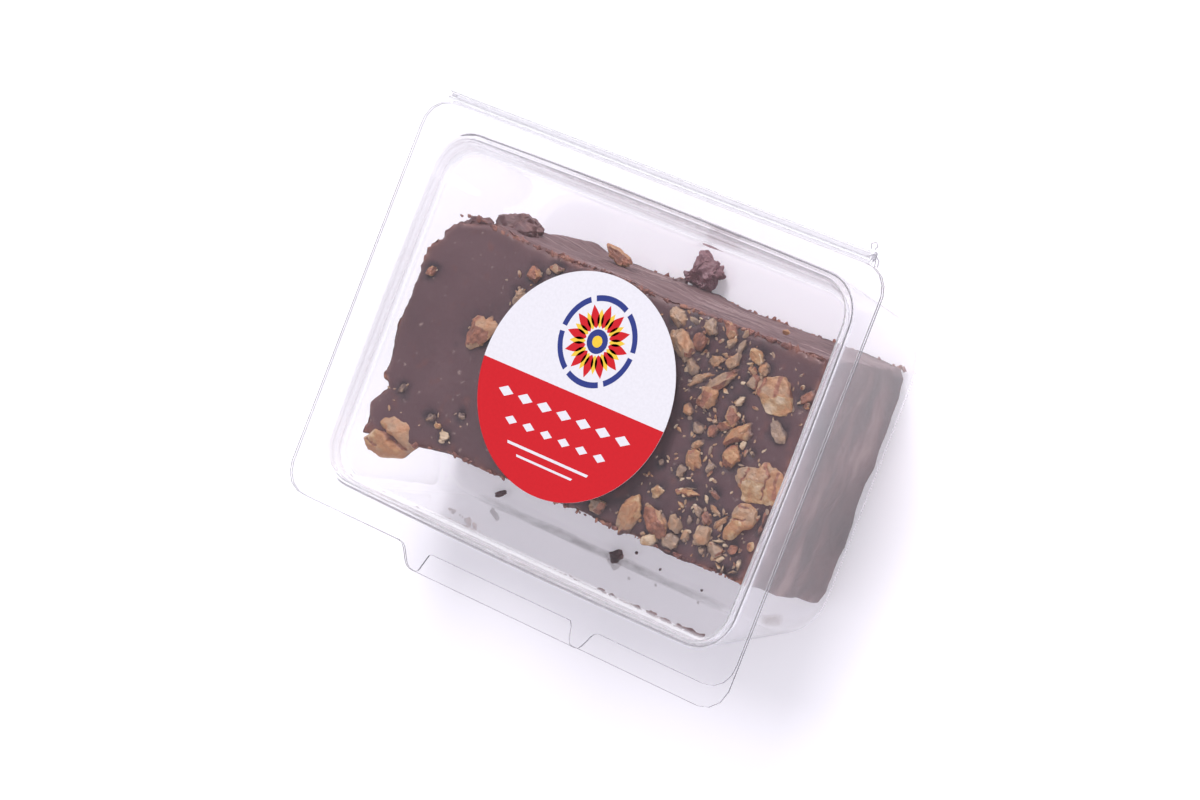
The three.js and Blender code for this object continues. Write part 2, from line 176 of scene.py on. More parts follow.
def film_tray(foot, mouth, foot_z, rim_top, low_bend, high_bend, outline, sag, milk_and_painted_light, bead_z, covered=0):
    """A tray of film: out under the floor, up the wall, out under the rim, and back inside.
    Its front edge's painted dark grey shows less where the other half's tab covers it, up to covered from the
    middle. The three milkiness values say how cloudy the film is at the end of the floor's bend, along the
    wall and at the rim's bend: partly real haze, partly painted sheen for the bright surroundings reflected
    there."""
    def ring(z, out, shrink=1.0):
        share = min(max((z - foot_z) / (rim_top - foot_z), 0), 1)
        sizes = {key: foot[key] + (mouth[key] - foot[key]) * share for key in foot}
        length, width = sizes["length"], sizes["width"]
        flat, normals = rounded_ring(length + 2 * out, width + 2 * out, sizes["corner"] + out)
        along = np.where(np.abs(normals[:, 1]) > 0.99, flat[:, 0] / length, flat[:, 1] / width)
        bow = side_bow * share * np.clip(1 - (2.3 * along) ** 2, 0, 1)
        flat = (flat + normals * bow[:, None]) * shrink
        flat = flat + np.array([drawing_x + sizes["x"], drawing_y + sizes["y"]])
        height = np.full(len(flat), z) + sag(flat[:, 0], flat[:, 1])
        return np.column_stack([flat, height]), normals

    def side(inward, floor_z, rim_z):
        """Rings of one face of the sheet, each with how milky it is (partly painted sheen, and a painted dark
        grey at the cut edge) and whether it is at the cut edge.
        """
        rings = [(ring(floor_z, inward - low_bend, shrink)[0], 0, 0)
                 for shrink in (0.1, 0.3, 0.5, 0.7, 0.85, 0.95)]
        low, high = low_bend + inward, high_bend - inward
        for angle in np.linspace(0, math.pi / 2, arc_steps):
            z, out = floor_z + low * (1 - math.cos(angle)), inward - low * (1 - math.sin(angle))
            rings.append((ring(z, out)[0], milk_and_painted_light[0] * math.sin(angle), 0))
        for share in np.linspace(0.1, 0.9, 9):
            z = floor_z + low + (rim_z - high - floor_z - low) * share
            bead = bead_out * math.exp(-((z - bead_z) / bead_half_height) ** 2)
            rings.append((ring(z, inward + bead)[0], milk_and_painted_light[1] + (milk_and_painted_light[2] - milk_and_painted_light[1]) * share ** 8, 0))
        for angle in np.linspace(0, math.pi / 2, 8):
            z, out = rim_z - high * (1 - math.sin(angle)), inward + high * (1 - math.cos(angle))
            rings.append((ring(z, out)[0], milk_and_painted_light[2] * math.cos(angle), 0))
        edge, normals = ring(rim_z, inward + high)
        reach = reach_to(outline, edge[:, :2], normals)
        for share in (0.3, 0.65, 1.0):
            moved = edge.copy()
            moved[:, :2] += normals * (reach * share - cut_width * (share == 1))[:, None]
            rings.append((moved, 0, 0))
        moved = edge.copy()
        moved[:, :2] += normals * reach[:, None]
        moved[:, 2] += edge_thinning * (1 if inward == 0 else -1)
        hidden = (np.abs(moved[:, 0] - drawing_x) < covered) & (moved[:, 1] < rim_front + 0.001)
        # Painted shade: the cut edge takes the dark grey layer, less of it under the other half's tab.
        rings.append((moved, np.where(hidden, covered_edge_painted_shade, open_edge_painted_shade), 1))
        return rings

    outside = side(0, foot_z, rim_top - film)
    inside = side(-film, foot_z + film, rim_top)
    rings = outside + inside[::-1]
    shape = loft([points for points, _, _ in rings])
    values = []
    for kind in (1, 2):
        spread = [np.broadcast_to(row[kind], len(row[0])) for row in rings]
        values.append(np.hstack([0] + spread + [0]))
    return shape, values


def point_values(piece, name, values):
    attribute = piece.data.attributes.new(name, "FLOAT", "POINT")
    attribute.data.foreach_set("value", np.array(values, dtype=np.float32))


def film_object(name, shape, values, body):
    piece = new_object(name, *shape, clear_film, body, "clear_film")
    for kind, numbers in zip(("milk_and_painted_light", "cut"), values):
        point_values(piece, kind, numbers)
    return piece


def film_material(name, haze):
    """Clear plastic sheet: glossy, hardly tinted, a trace milky where it was drawn and bent, grey at its cut
    edge, with the faint waves that cooling leaves in it. The milkiness is partly real haze and partly painted
    sheen for the bright surroundings that the bends and walls reflect; the grey at the cut edge is painted
    shade for the dark line along the film's edge."""
    material = bpy.data.materials.new(name)
    material.use_nodes = True
    nodes, links = material.node_tree.nodes, material.node_tree.links
    shader = nodes["Principled BSDF"]
    shader.inputs["Base Color"].default_value = (0.993, 0.991, 0.997, 1)
    shader.inputs["Transmission Weight"].default_value = 1
    shader.inputs["IOR"].default_value = 1.5
    shader.inputs["Specular IOR Level"].default_value = 0.38
    place = nodes.new("ShaderNodeTexCoord")
    waves = nodes.new("ShaderNodeTexNoise")
    waves.inputs["Scale"].default_value = 70
    waves.inputs["Detail"].default_value = 1
    scuffs = nodes.new("ShaderNodeTexNoise")
    scuffs.inputs["Scale"].default_value = 260
    scuffs.inputs["Detail"].default_value = 4
    rough = nodes.new("ShaderNodeMapRange")
    rough.inputs["From Min"].default_value = 0.45
    rough.inputs["From Max"].default_value = 0.8
    rough.inputs["To Min"].default_value = haze
    rough.inputs["To Max"].default_value = haze + 0.03
    bump = nodes.new("ShaderNodeBump")
    bump.inputs["Strength"].default_value = 0.08
    bump.inputs["Distance"].default_value = 0.0002
    links.new(place.outputs["Object"], waves.inputs["Vector"])
    links.new(place.outputs["Object"], scuffs.inputs["Vector"])
    links.new(waves.outputs["Fac"], bump.inputs["Height"])
    links.new(bump.outputs["Normal"], shader.inputs["Normal"])
    links.new(scuffs.outputs["Fac"], rough.inputs["Value"])
    links.new(rough.outputs["Result"], shader.inputs["Roughness"])
    path = nodes.new("ShaderNodeLightPath")
    soft = nodes.new("ShaderNodeMath")
    soft.operation = "MAXIMUM"
    through = nodes.new("ShaderNodeBsdfTransparent")
    dim = nodes.new("ShaderNodeMix")
    dim.data_type = "RGBA"
    dim.inputs["A"].default_value = (0.965, 0.962, 0.968, 1)
    dim.inputs["B"].default_value = (0.942, 0.938, 0.943, 1)
    links.new(path.outputs["Is Shadow Ray"], dim.inputs["Factor"])
    links.new(dim.outputs["Result"], through.inputs["Color"])
    # Painted light: a diffuse layer over the clear sheet, pale where it is milky (partly real haze, partly
    # painted sheen) and dark grey at the cut edge (painted shade).
    cloudy = nodes.new("ShaderNodeBsdfPrincipled")
    cloudy.inputs["Roughness"].default_value = 0.5
    cut = nodes.new("ShaderNodeAttribute")
    cut.attribute_name = "cut"
    # Pale for the painted sheen, dark grey for the painted shade along the cut edge.
    sheen_to_edge_shade = nodes.new("ShaderNodeMix")
    sheen_to_edge_shade.data_type = "RGBA"
    sheen_to_edge_shade.inputs["A"].default_value = (0.93, 0.92, 0.96, 1)
    sheen_to_edge_shade.inputs["B"].default_value = (0.26, 0.25, 0.28, 1)
    links.new(cut.outputs["Fac"], sheen_to_edge_shade.inputs["Factor"])
    links.new(sheen_to_edge_shade.outputs["Result"], cloudy.inputs["Base Color"])
    milk_and_painted_light = nodes.new("ShaderNodeAttribute")
    milk_and_painted_light.attribute_name = "milk_and_painted_light"
    with_painted_light = nodes.new("ShaderNodeMixShader")
    links.new(milk_and_painted_light.outputs["Fac"], with_painted_light.inputs["Fac"])
    links.new(shader.outputs["BSDF"], with_painted_light.inputs[1])
    links.new(cloudy.outputs["BSDF"], with_painted_light.inputs[2])
    mix = nodes.new("ShaderNodeMixShader")
    links.new(path.outputs["Is Shadow Ray"], soft.inputs[0])
    links.new(path.outputs["Is Diffuse Ray"], soft.inputs[1])
    links.new(soft.outputs[0], mix.inputs["Fac"])
    links.new(with_painted_light.outputs["Shader"], mix.inputs[1])
    links.new(through.outputs["BSDF"], mix.inputs[2])
    links.new(mix.outputs["Shader"], nodes["Material Output"].inputs["Surface"])
    return material


def floor_sag(x, y):
    return 0.00004 * (1 + np.sin(x * 90) * np.cos(y * 70))


clear_film = film_material("clear_film", 0.003)
tub_outline = rim_outline([(-0.0216, -0.0194), (0.0203, 0.0225)], True)
tub_shape, tub_values = film_tray(tub_floor, tub_mouth, 0, tub_rim_top, floor_bend, mouth_bend, tub_outline,
                                  floor_sag, (0.0, 0.0, 0.1), 0.0392, 0.022)
tub = film_object("tub_film", tub_shape, tub_values, "tub")
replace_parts(tub, "tub")

# Hinge roll
# The same sheet between tub and lid, pressed into a narrow arch so that it folds there. With the lid shut
# it closes to an open roll behind the rims, cut off square at both ends.

roll_low, roll_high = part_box("hinge_roll")
roll_radius = (roll_high.z - roll_low.z) / 2 - film / 2
roll_centre_y = roll_high.y - roll_radius - film / 2
roll_centre_z = (roll_low.z + roll_high.z) / 2
curl_path = [(0.0550, 0.0462), (0.0563, 0.0466), (0.0568, 0.0472), (0.0575, 0.0490), (0.0570, 0.0497),
             (0.0561, 0.0492), (0.0562, 0.0482), (0.0571, 0.0476), (0.0580, 0.0472), (0.0590, 0.0462),
             (0.0593, 0.0450), (0.0587, 0.0449), (0.0583, 0.0458), (0.0581, 0.0468)]
curl_thickness = 0.00022
curl_height, curl_wave = 0.0412, 0.0002
# Painted light on the hinge roll and its end curl: the roll gets a light grey diffuse layer that lifts its
# dark shade, and the curl is drawn as a painted dark grey strand for the grey lines it shows.
roll_milk_and_painted_light, roll_painted_grey = 0.18, 0.3
curl_painted_shade, curl_painted_grey = 0.55, 1


def strip_along_x(path, x_from, x_to, steps, bow):
    """A strip of film that follows a path across, drawn along the hinge, bowed a little at its ends."""
    path = np.array(path)
    tangents = np.gradient(path, axis=0)
    tangents /= np.linalg.norm(tangents, axis=1)[:, None]
    normals = np.column_stack([-tangents[:, 1], tangents[:, 0]])
    section = np.vstack([path + normals * film / 2, (path - normals * film / 2)[::-1]])
    rings = []
    for x in np.linspace(x_from, x_to, steps):
        end = max(0, 1 - min(x - x_from, x_to - x) / 0.004)
        spread = section + (section - section.mean(axis=0)) * bow * end ** 2
        rings.append(np.column_stack([np.full(len(section), x), spread]))
    return loft(rings)


def roll_path():
    """Across the roll: from the tub's rim under and round the back to the lid's rim."""
    path = [(rim_back + 0.0001, tub_rim_top - film / 2 - 0.0001)]
    for angle in np.radians(np.linspace(208, 510, 30)):
        y, z = roll_centre_y + roll_radius * math.cos(angle), roll_centre_z + roll_radius * math.sin(angle)
        path.append((y, z))
    path.append((rim_back + 0.0001, tub_rim_top + film / 2 + 0.0005))
    return path


roll_shape = strip_along_x(roll_path(), roll_low.x, roll_high.x, 60, 0.06)
roll_count = len(roll_shape[0])
roll = film_object("hinge_roll_film", roll_shape, [[roll_milk_and_painted_light] * roll_count, [roll_painted_grey] * roll_count], "tub")
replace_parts(roll, "hinge_roll")


def tube(path, thickness):
    """A thin round strand along a path: the curled offcut that hangs on at the roll's end."""
    path = np.array(path)
    along = np.gradient(path, axis=0)
    sideways = np.column_stack([-along[:, 1], along[:, 0], 0 * along[:, 0]])
    sideways /= np.maximum(np.linalg.norm(sideways, axis=1), 1e-9)[:, None]
    angles = np.radians(np.arange(0, 360, 45))
    rings = []
    for point, side in zip(path, sideways):
        around = np.outer(np.cos(angles), side) + np.outer(np.sin(angles), (0, 0, 1))
        rings.append(point + thickness / 2 * around)
    return loft(rings)


curl_points = [(drawing_x + x, drawing_y + y, curl_height + curl_wave * (index % 3))
               for index, (x, y) in enumerate(curl_path)]
curl_shape = tube(curl_points, curl_thickness)
curl_count = len(curl_shape[0])
curl = film_object("hinge_end_curl", curl_shape, [[curl_painted_shade] * curl_count, [curl_painted_grey] * curl_count], "tub")
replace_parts(curl, "hinge_roll")

# Fudge slab
# Half a pound of fudge, poured flat, scored and cut: a smooth poured top with chopped pecans pressed in
# towards one end, a scraped face at the back, cut faces elsewhere and one torn corner.

mm = 0.001
slab_bottom = 0.52
slab_top = 34
slab_wall_gap = 0.3
back_flare = 3.6
end_lean = 2.6
left_end, right_end = -55.6, 52.6
front_foot = -27.2
slab_length, slab_width = 108, 50
slab_grid = (200, 100, 60)
left_edge = [(-33, -50.5), (-30, -54), (-24, -54.3), (-19.5, -52.2), (-16, -54.2), (-8, -55.4),
             (4, -55.6), (12, -55.2), (17, -52.6), (22.5, -48.4)]
front_edge = [(-56, -30.4), (-48, -30.2), (-42, -29.4), (-36.5, -28), (-29, -27), (-10, -27.3), (53, -26.9)]
back_edge = [(-56, 21), (-46, 23.4), (-36, 22.4), (-22, 22.4), (-8, 23), (6, 22.3), (26, 22.7), (53, 23.2)]
right_edge = [(-28, 51.6), (-24, 52.6), (20, 52.6), (24.5, 51.6), (27, 50)]
far_nuts = [
    (-33.3, 0.1, 8.2, 6, 60, 0.5, 0.3), (-25.3, 16.5, 4.4, 3, -20, 0.62, 0.5),
    (-27.1, 10.5, 4.6, 2.4, 70, 0.2, 0), (-20.4, 19.4, 3.4, 2.2, 0, 0.35, 0.3),
    (-52, 8.4, 3.4, 2.2, 30, 0.66, 0.4), (-37.9, -21.7, 2.8, 1.8, 40, 0.2, 0),
    (-32.5, -24.2, 3.4, 2, 0, 0.9, 0), (-48, -18.5, 3, 1.6, 60, 0.15, 0),
    (-30.3, -18.5, 2.4, 1.6, 10, 0.1, 0), (20, -23.6, 8, 4.6, 80, 0.6, 0.3),
    (11.8, -24.6, 4.6, 3.8, 20, 0.35, 0.2),
]
small_nuts = [
    (13.8, 19.8, 4.3, 3.4, -40, 0.3, 0), (17.8, 20.4, 3.1, 1.4, -20, 1, 0),
    (22.4, 20.2, 4.4, 3.4, -30, 0.12, 0), (21.4, 16.5, 3.6, 4.2, -10, 0.3, 1),
    (17.2, 14.6, 7.3, 4.1, -35, 0.32, 0.2), (27.2, 21.4, 4, 2.9, -45, 0.5, 0.4),
    (28.7, 18.8, 3.2, 1.8, 45, 0.15, 0), (31.3, 18.8, 3.6, 1.9, 75, 0.15, 0),
    (35.7, 18.5, 4.6, 3.2, -40, 0.85, 0), (26.3, 14.1, 4.4, 2.8, 20, 0.4, 0),
    (30.9, 15.3, 4.3, 2.7, 60, 0.42, 0), (21.4, 11, 4, 2.9, -40, 0.2, 0),
    (24.3, 9.4, 6, 2, 40, 0.55, 0.15), (29.9, 11.2, 8.8, 2.8, 45, 0.45, 0.6),
    (27.9, 6.2, 4.9, 4.3, 90, 0.4, 0.35), (24.3, 2.3, 3.6, 2.4, -45, 0.5, 0),
    (38.4, 16.4, 3.1, 2.8, -25, 0.5, 0.2), (37.2, 12.8, 3.6, 3.2, -30, 0.35, 0.4),
    (36.2, 15.1, 2.4, 2, -5, 0.6, 0.6), (47.2, 5.5, 4.8, 3.4, -50, 0.1, 0),
    (35.6, 8.1, 3.1, 1.8, 40, 1, 0), (35.6, 4.6, 4.3, 3.2, -50, 0.35, 0.35),
    (38.3, 1.7, 7, 3.8, 45, 0.6, 0.35), (34.3, 2, 3.7, 2.2, 35, 0.65, 0.5),
    (32, 0.2, 3.7, 2.5, 85, 0.35, 0.3), (28.1, -0.4, 3.4, 2.5, -20, 0.08, 0),
    (29.8, -3.7, 2.7, 2, 45, 0.25, 0), (50.6, 14.2, 4.2, 2.8, 55, 0.3, 1),
    (49.4, 12.8, 1.2, 0.8, 50, 1, 0), (30.2, -7, 4.5, 3.4, -30, 0.62, 0.3),
    (38.8, -3.5, 4.9, 4.5, 75, 0.6, 0.25), (28.3, -10.4, 3.1, 2.6, 65, 0.15, 0),
    (34.7, -7.3, 2.4, 2.1, 70, 0.08, 0), (43, -1, 1.7, 1, -25, 1, 0),
    (22.9, -10.3, 1.6, 1.4, 55, 0.05, 0), (24.6, -16.4, 3.7, 2.4, 55, 0.95, 0),
    (32.2, -13.9, 5.1, 1.9, 10, 0.68, 0.3), (32, -13.1, 3.9, 0.8, 25, 1, 0),
    (38.4, -12.2, 3.2, 1.4, -15, 0.3, 1), (26.9, -22.3, 7.3, 5.5, -30, 0.6, 0.4),
    (27.1, -26.2, 4.7, 2.5, 30, 0.8, 0.1), (31.6, -21, 4.1, 3.1, -50, 0.35, 0),
    (32.1, -25, 4.1, 3.3, -10, 0.15, 0), (35, -22.8, 2.8, 2, 55, 0.35, 0.2),
    (39.5, -20.9, 4.2, 4, 75, 0.33, 0.15), (43.4, -22.7, 4.1, 2.8, -5, 0.4, 0.2),
    (43.2, -20.8, 3.2, 0.8, 10, 0.95, 0), (40.2, -23.9, 2.5, 1.6, -25, 0.2, 0),
    (47.3, -21.1, 3.1, 2, 50, 0.3, 1), (46.6, -26, 1.9, 0.7, -85, 1, 0),
    (45.4, -25.7, 1.7, 0.6, -25, 0.9, 0), (49.9, -23.6, 1.9, 1.2, -85, 0.95, 0),
    (49.3, -25.5, 2.1, 0.6, 35, 0.9, 0), (34.7, -19.2, 1.8, 1.3, 55, 0.08, 0),
    (38.6, -17.3, 3.7, 1.9, -45, 0.3, 0.9), (35.9, -16.6, 3.6, 1.8, -35, 0.2, 0),
    (40, -15.2, 3.7, 1.1, -25, 0.3, 0), (42.3, -16.6, 4.5, 1.4, 55, 0.4, 0),
    (51.6, -12.2, 2.8, 1, -85, 0.3, 1), (51.8, -15.1, 2.5, 0.9, -85, 0.5, 1),
    (36.7, -13.7, 2.3, 0.7, -45, 0.95, 0),
]


def lattice_value(ix, iy, iz, seed):
    """One repeatable random number between -1 and 1 for each point of a lattice."""
    mask = np.uint64(0xFFFFFFFF)
    parts = [(i.astype(np.int64).astype(np.uint64) * np.uint64(f)) & mask
             for i, f in ((ix, 374761393), (iy, 668265263), (iz, 1274126177))]
    value = parts[0] ^ parts[1] ^ parts[2] ^ np.uint64(seed)
    value = (value * np.uint64(1103515245)) & mask
    value = ((value ^ (value >> np.uint64(15))) * np.uint64(2246822519)) & mask
    value ^= value >> np.uint64(13)
    return value.astype(float) / 4294967295 * 2 - 1


def value_noise(x, y, z, seed):
    x, y, z = np.broadcast_arrays(*[np.asarray(v, dtype=float) for v in (x, y, z)])
    cells = [np.floor(v) for v in (x, y, z)]
    parts = [v - c for v, c in zip((x, y, z), cells)]
    parts = [f * f * (3 - 2 * f) for f in parts]
    total = np.zeros(x.shape)
    for corner in range(8):
        steps = (corner & 1, (corner >> 1) & 1, corner >> 2)
        weight = 1
        for step, part in zip(steps, parts):
            weight = weight * (part if step else 1 - part)
        total = total + weight * lattice_value(*[c + s for c, s in zip(cells, steps)], seed)
    return total


def layered_noise(x, y, z, scale, seed, layers=3):
    total, weight = 0, 1
    for layer in range(layers):
        total = total + weight * value_noise(x / scale, y / scale, z / scale, seed + 7 * layer)
        scale, weight = scale / 2.1, weight * 0.5
    return total


def smooth_share(value, low, high):
    share = np.clip((value - low) / (high - low), 0, 1)
    return share * share * (3 - 2 * share)


def along_edge(edge, at):
    """A soft curve through the edge's points."""
    places, values = np.array(edge).T
    after = np.clip(np.searchsorted(places, at, side="right"), 1, len(places) - 1)
    share = smooth_share((at - places[after - 1]) / (places[after] - places[after - 1]), 0, 1)
    return values[after - 1] + (values[after] - values[after - 1]) * share


def keep_in_tub(points, gap):
    """Moves points in where they would pass through the tub's wall or its floor bend."""
    x, y, z = points.T * mm
    share = np.clip(z / tub_rim_top, 0, 1)
    bend = floor_bend - film
    drop = np.maximum(0, film + bend - z)
    inset = film + gap * mm + bend - np.sqrt(np.maximum(0, bend ** 2 - drop ** 2))
    sizes = {key: tub_floor[key] + (tub_mouth[key] - tub_floor[key]) * share for key in tub_floor}
    corner = sizes["corner"] - inset
    core_x, core_y = sizes["length"] / 2 - sizes["corner"], sizes["width"] / 2 - sizes["corner"]
    from_x = x - np.clip(x, sizes["x"] - core_x, sizes["x"] + core_x)
    from_y = y - np.clip(y, sizes["y"] - core_y, sizes["y"] + core_y)
    distance = np.hypot(from_x, from_y)
    pull = np.where(distance > corner, corner / np.maximum(distance, 1e-9) - 1, 0)
    return np.column_stack([x + from_x * pull, y + from_y * pull, z]) / mm


def in_row(points):
    """From millimetres about the drawing's centre to metres in the row's frame."""
    return np.asarray(points) * mm + np.array([drawing_x, drawing_y, 0])


def box_grid(nx, ny, nz):
    """The skin of a box with shared corners: shares along each side, and its faces."""
    index, shares, faces = {}, [], []

    def vertex(i, j, k):
        if (i, j, k) not in index:
            index[(i, j, k)] = len(shares)
            shares.append((i / nx, j / ny, k / nz))
        return index[(i, j, k)]

    for i in range(nx):
        for j in range(ny):
            faces.append([vertex(i, j, 0), vertex(i, j + 1, 0), vertex(i + 1, j + 1, 0), vertex(i + 1, j, 0)])
            faces.append([vertex(i, j, nz), vertex(i + 1, j, nz),
                          vertex(i + 1, j + 1, nz), vertex(i, j + 1, nz)])
        for k in range(nz):
            faces.append([vertex(i, 0, k), vertex(i + 1, 0, k), vertex(i + 1, 0, k + 1), vertex(i, 0, k + 1)])
            faces.append([vertex(i, ny, k), vertex(i, ny, k + 1),
                          vertex(i + 1, ny, k + 1), vertex(i + 1, ny, k)])
    for j in range(ny):
        for k in range(nz):
            faces.append([vertex(0, j, k), vertex(0, j, k + 1), vertex(0, j + 1, k + 1), vertex(0, j + 1, k)])
            faces.append([vertex(nx, j, k), vertex(nx, j + 1, k),
                          vertex(nx, j + 1, k + 1), vertex(nx, j, k + 1)])
    return np.array(shares), faces


def near_nuts(x, y):
    """How close each place is to a pressed-in nut: 1 beside it, 0 from about 3 mm away."""
    close = np.zeros(np.shape(x))
    for place in far_nuts + small_nuts:
        reach = (place[2] + place[3]) / 4 + 1.1
        close = np.maximum(close, np.exp(-((x - place[0]) ** 2 + (y - place[1]) ** 2) / reach ** 2))
    return close


def top_relief(x, y):
    """Height of the poured top above or below its level: slow waves, and small hollows by the nuts."""
    waves = 0.2 * value_noise(x / 8, y / 8, 0 * x, 37) + 0.05 * value_noise(x / 3, y / 3, 0 * x, 39)
    hollow = near_nuts(x, y) * (0.3 + 0.16 * layered_noise(x, y, 0 * x, 1.2, 15, 2))
    return waves - hollow


def slab_shape(grid):
    """The slab's skin, with how near each point is to a top edge and to a nut."""
    shares, faces = box_grid(*grid)
    u, v, w = shares.T
    nominal_x = left_end + (right_end - left_end) * u
    torn = smooth_share(w, 0.35, 0.9)
    front = front_foot + (along_edge(front_edge, nominal_x) - front_foot) * torn
    back = along_edge(back_edge, nominal_x)
    left = along_edge(left_edge, front + (back - front) * v) + end_lean * (1 - w)
    y = front + (back + back_flare * (1 - w) - front) * v
    x = left + (along_edge(right_edge, y) - left) * u
    z = slab_bottom + (slab_top - slab_bottom) * w
    from_end = np.minimum(u * slab_length, (1 - u) * slab_length)
    from_side = np.minimum(from_end, np.minimum(v * slab_width, (1 - v) * slab_width))
    from_top = (1 - w) * (slab_top - slab_bottom)
    side, top, foot = from_side < 1e-6, w > 0.999, w < 0.001
    at_back, at_left = side & (v > 0.999), side & (u < 0.001)
    edge = np.where(side, np.exp(-from_top / 1.1), np.where(top, np.exp(-from_side / 0.8), 0))
    coarse = [value_noise(x / 4.5, y / 4.5, z / 4.5, seed) for seed in (11, 23, 37)]
    fine = [layered_noise(x, y, z, 1.5, seed, 3) for seed in (51, 63, 77)]
    crumb = [layered_noise(x, y, z, 0.9, seed, 2) for seed in (131, 143, 157)]
    scrape = layered_noise(x / 11, y * 0, z, 1.3, 91)
    scrape = scrape + 0.5 * layered_noise(x / 5, y * 0, z + x * 0.02, 0.6, 95)
    ragged = smooth_share(layered_noise(x, y, z, 6, 171, 2), -0.1, 0.7)
    rough = np.where(side, 0.12 + 0.3 * edge * (0.4 + ragged) + 0.3 * at_left, 0)
    x = x + np.where(side, coarse[0] * 0.75, 0) + fine[0] * rough + crumb[0] * 0.3 * edge * ragged * side
    y = y + np.where(side, coarse[1] * np.where(at_back, 0.25, 0.75), 0) + fine[1] * rough
    y = y + crumb[1] * 0.6 * edge * ragged * side + np.where(at_back, scrape * 0.08, 0)
    edge_drop = 0.65 * np.clip(1 - from_side / 2.6, 0, 1) ** 4
    top_skin = fine[2] * 0.03 + crumb[2] * edge * 0.6 * (0.3 + ragged)
    z = z + np.where(top, top_relief(x, y) - edge_drop + top_skin, 0)
    z = z + np.where(foot, 0.6 * np.clip(1 - from_side / 4, 0, 1) ** 6, 0)
    points = in_row(keep_in_tub(np.column_stack([x, y, z]), slab_wall_gap))
    # The nearness to the nuts on the top is carried on as painted shade round the nuts.
    return points, faces, edge * (0.35 + 0.65 * ragged), np.where(top, near_nuts(x, y), 0)


def add_noise(nodes, links, place, scale, detail, stretch=None):
    """Noise texture on the object's own coordinates, stretched where asked."""
    texture = nodes.new("ShaderNodeTexNoise")
    texture.inputs["Scale"].default_value = scale
    texture.inputs["Detail"].default_value = detail
    source = place.outputs["Object"]
    if stretch:
        mapping = nodes.new("ShaderNodeMapping")
        mapping.inputs["Scale"].default_value = stretch
        links.new(source, mapping.inputs["Vector"])
        source = mapping.outputs["Vector"]
    links.new(source, texture.inputs["Vector"])
    return texture.outputs["Fac"]


def add_ramp(nodes, links, source, stops):
    ramp = nodes.new("ShaderNodeValToRGB")
    elements = ramp.color_ramp.elements
    while len(elements) < len(stops):
        elements.new(0.5)
    for element, (position, colour) in zip(elements, stops):
        element.position = position
        element.color = (*colour, 1)
    links.new(source, ramp.inputs["Fac"])
    return ramp.outputs["Color"]


def add_range(nodes, links, source, low, high, to_low=0.0, to_high=1.0):
    """A value carried from one range to another, held at its ends."""
    change = nodes.new("ShaderNodeMapRange")
    for name, value in (("From Min", low), ("From Max", high), ("To Min", to_low), ("To Max", to_high)):
        change.inputs[name].default_value = value
    links.new(source, change.inputs["Value"])
    return change.outputs["Result"]


def add_mix(nodes, links, factor, first, second):
    """Two colours mixed; each may be a socket or a plain colour."""
    mix = nodes.new("ShaderNodeMix")
    mix.data_type = "RGBA"
    links.new(factor, mix.inputs["Factor"])
    for name, colour in (("A", first), ("B", second)):
        if isinstance(colour, tuple):
            mix.inputs[name].default_value = (*colour, 1)
        else:
            links.new(colour, mix.inputs[name])
    return mix.outputs["Result"]


def add_maths(nodes, links, operation, first, second):
    maths = nodes.new("ShaderNodeMath")
    maths.operation = operation
    for index, value in enumerate((first, second)):
        if isinstance(value, (int, float)):
            maths.inputs[index].default_value = value
        else:
            links.new(value, maths.inputs[index])
    return maths.outputs[0]


def add_bump(nodes, links, height, strength, distance):
    bump = nodes.new("ShaderNodeBump")
    bump.inputs["Strength"].default_value = strength
    bump.inputs["Distance"].default_value = distance
    links.new(height, bump.inputs["Height"])
    return bump.outputs["Normal"]


def add_attribute(nodes, name):
    attribute = nodes.new("ShaderNodeAttribute")
    attribute.attribute_name = name
    return attribute.outputs["Fac"]


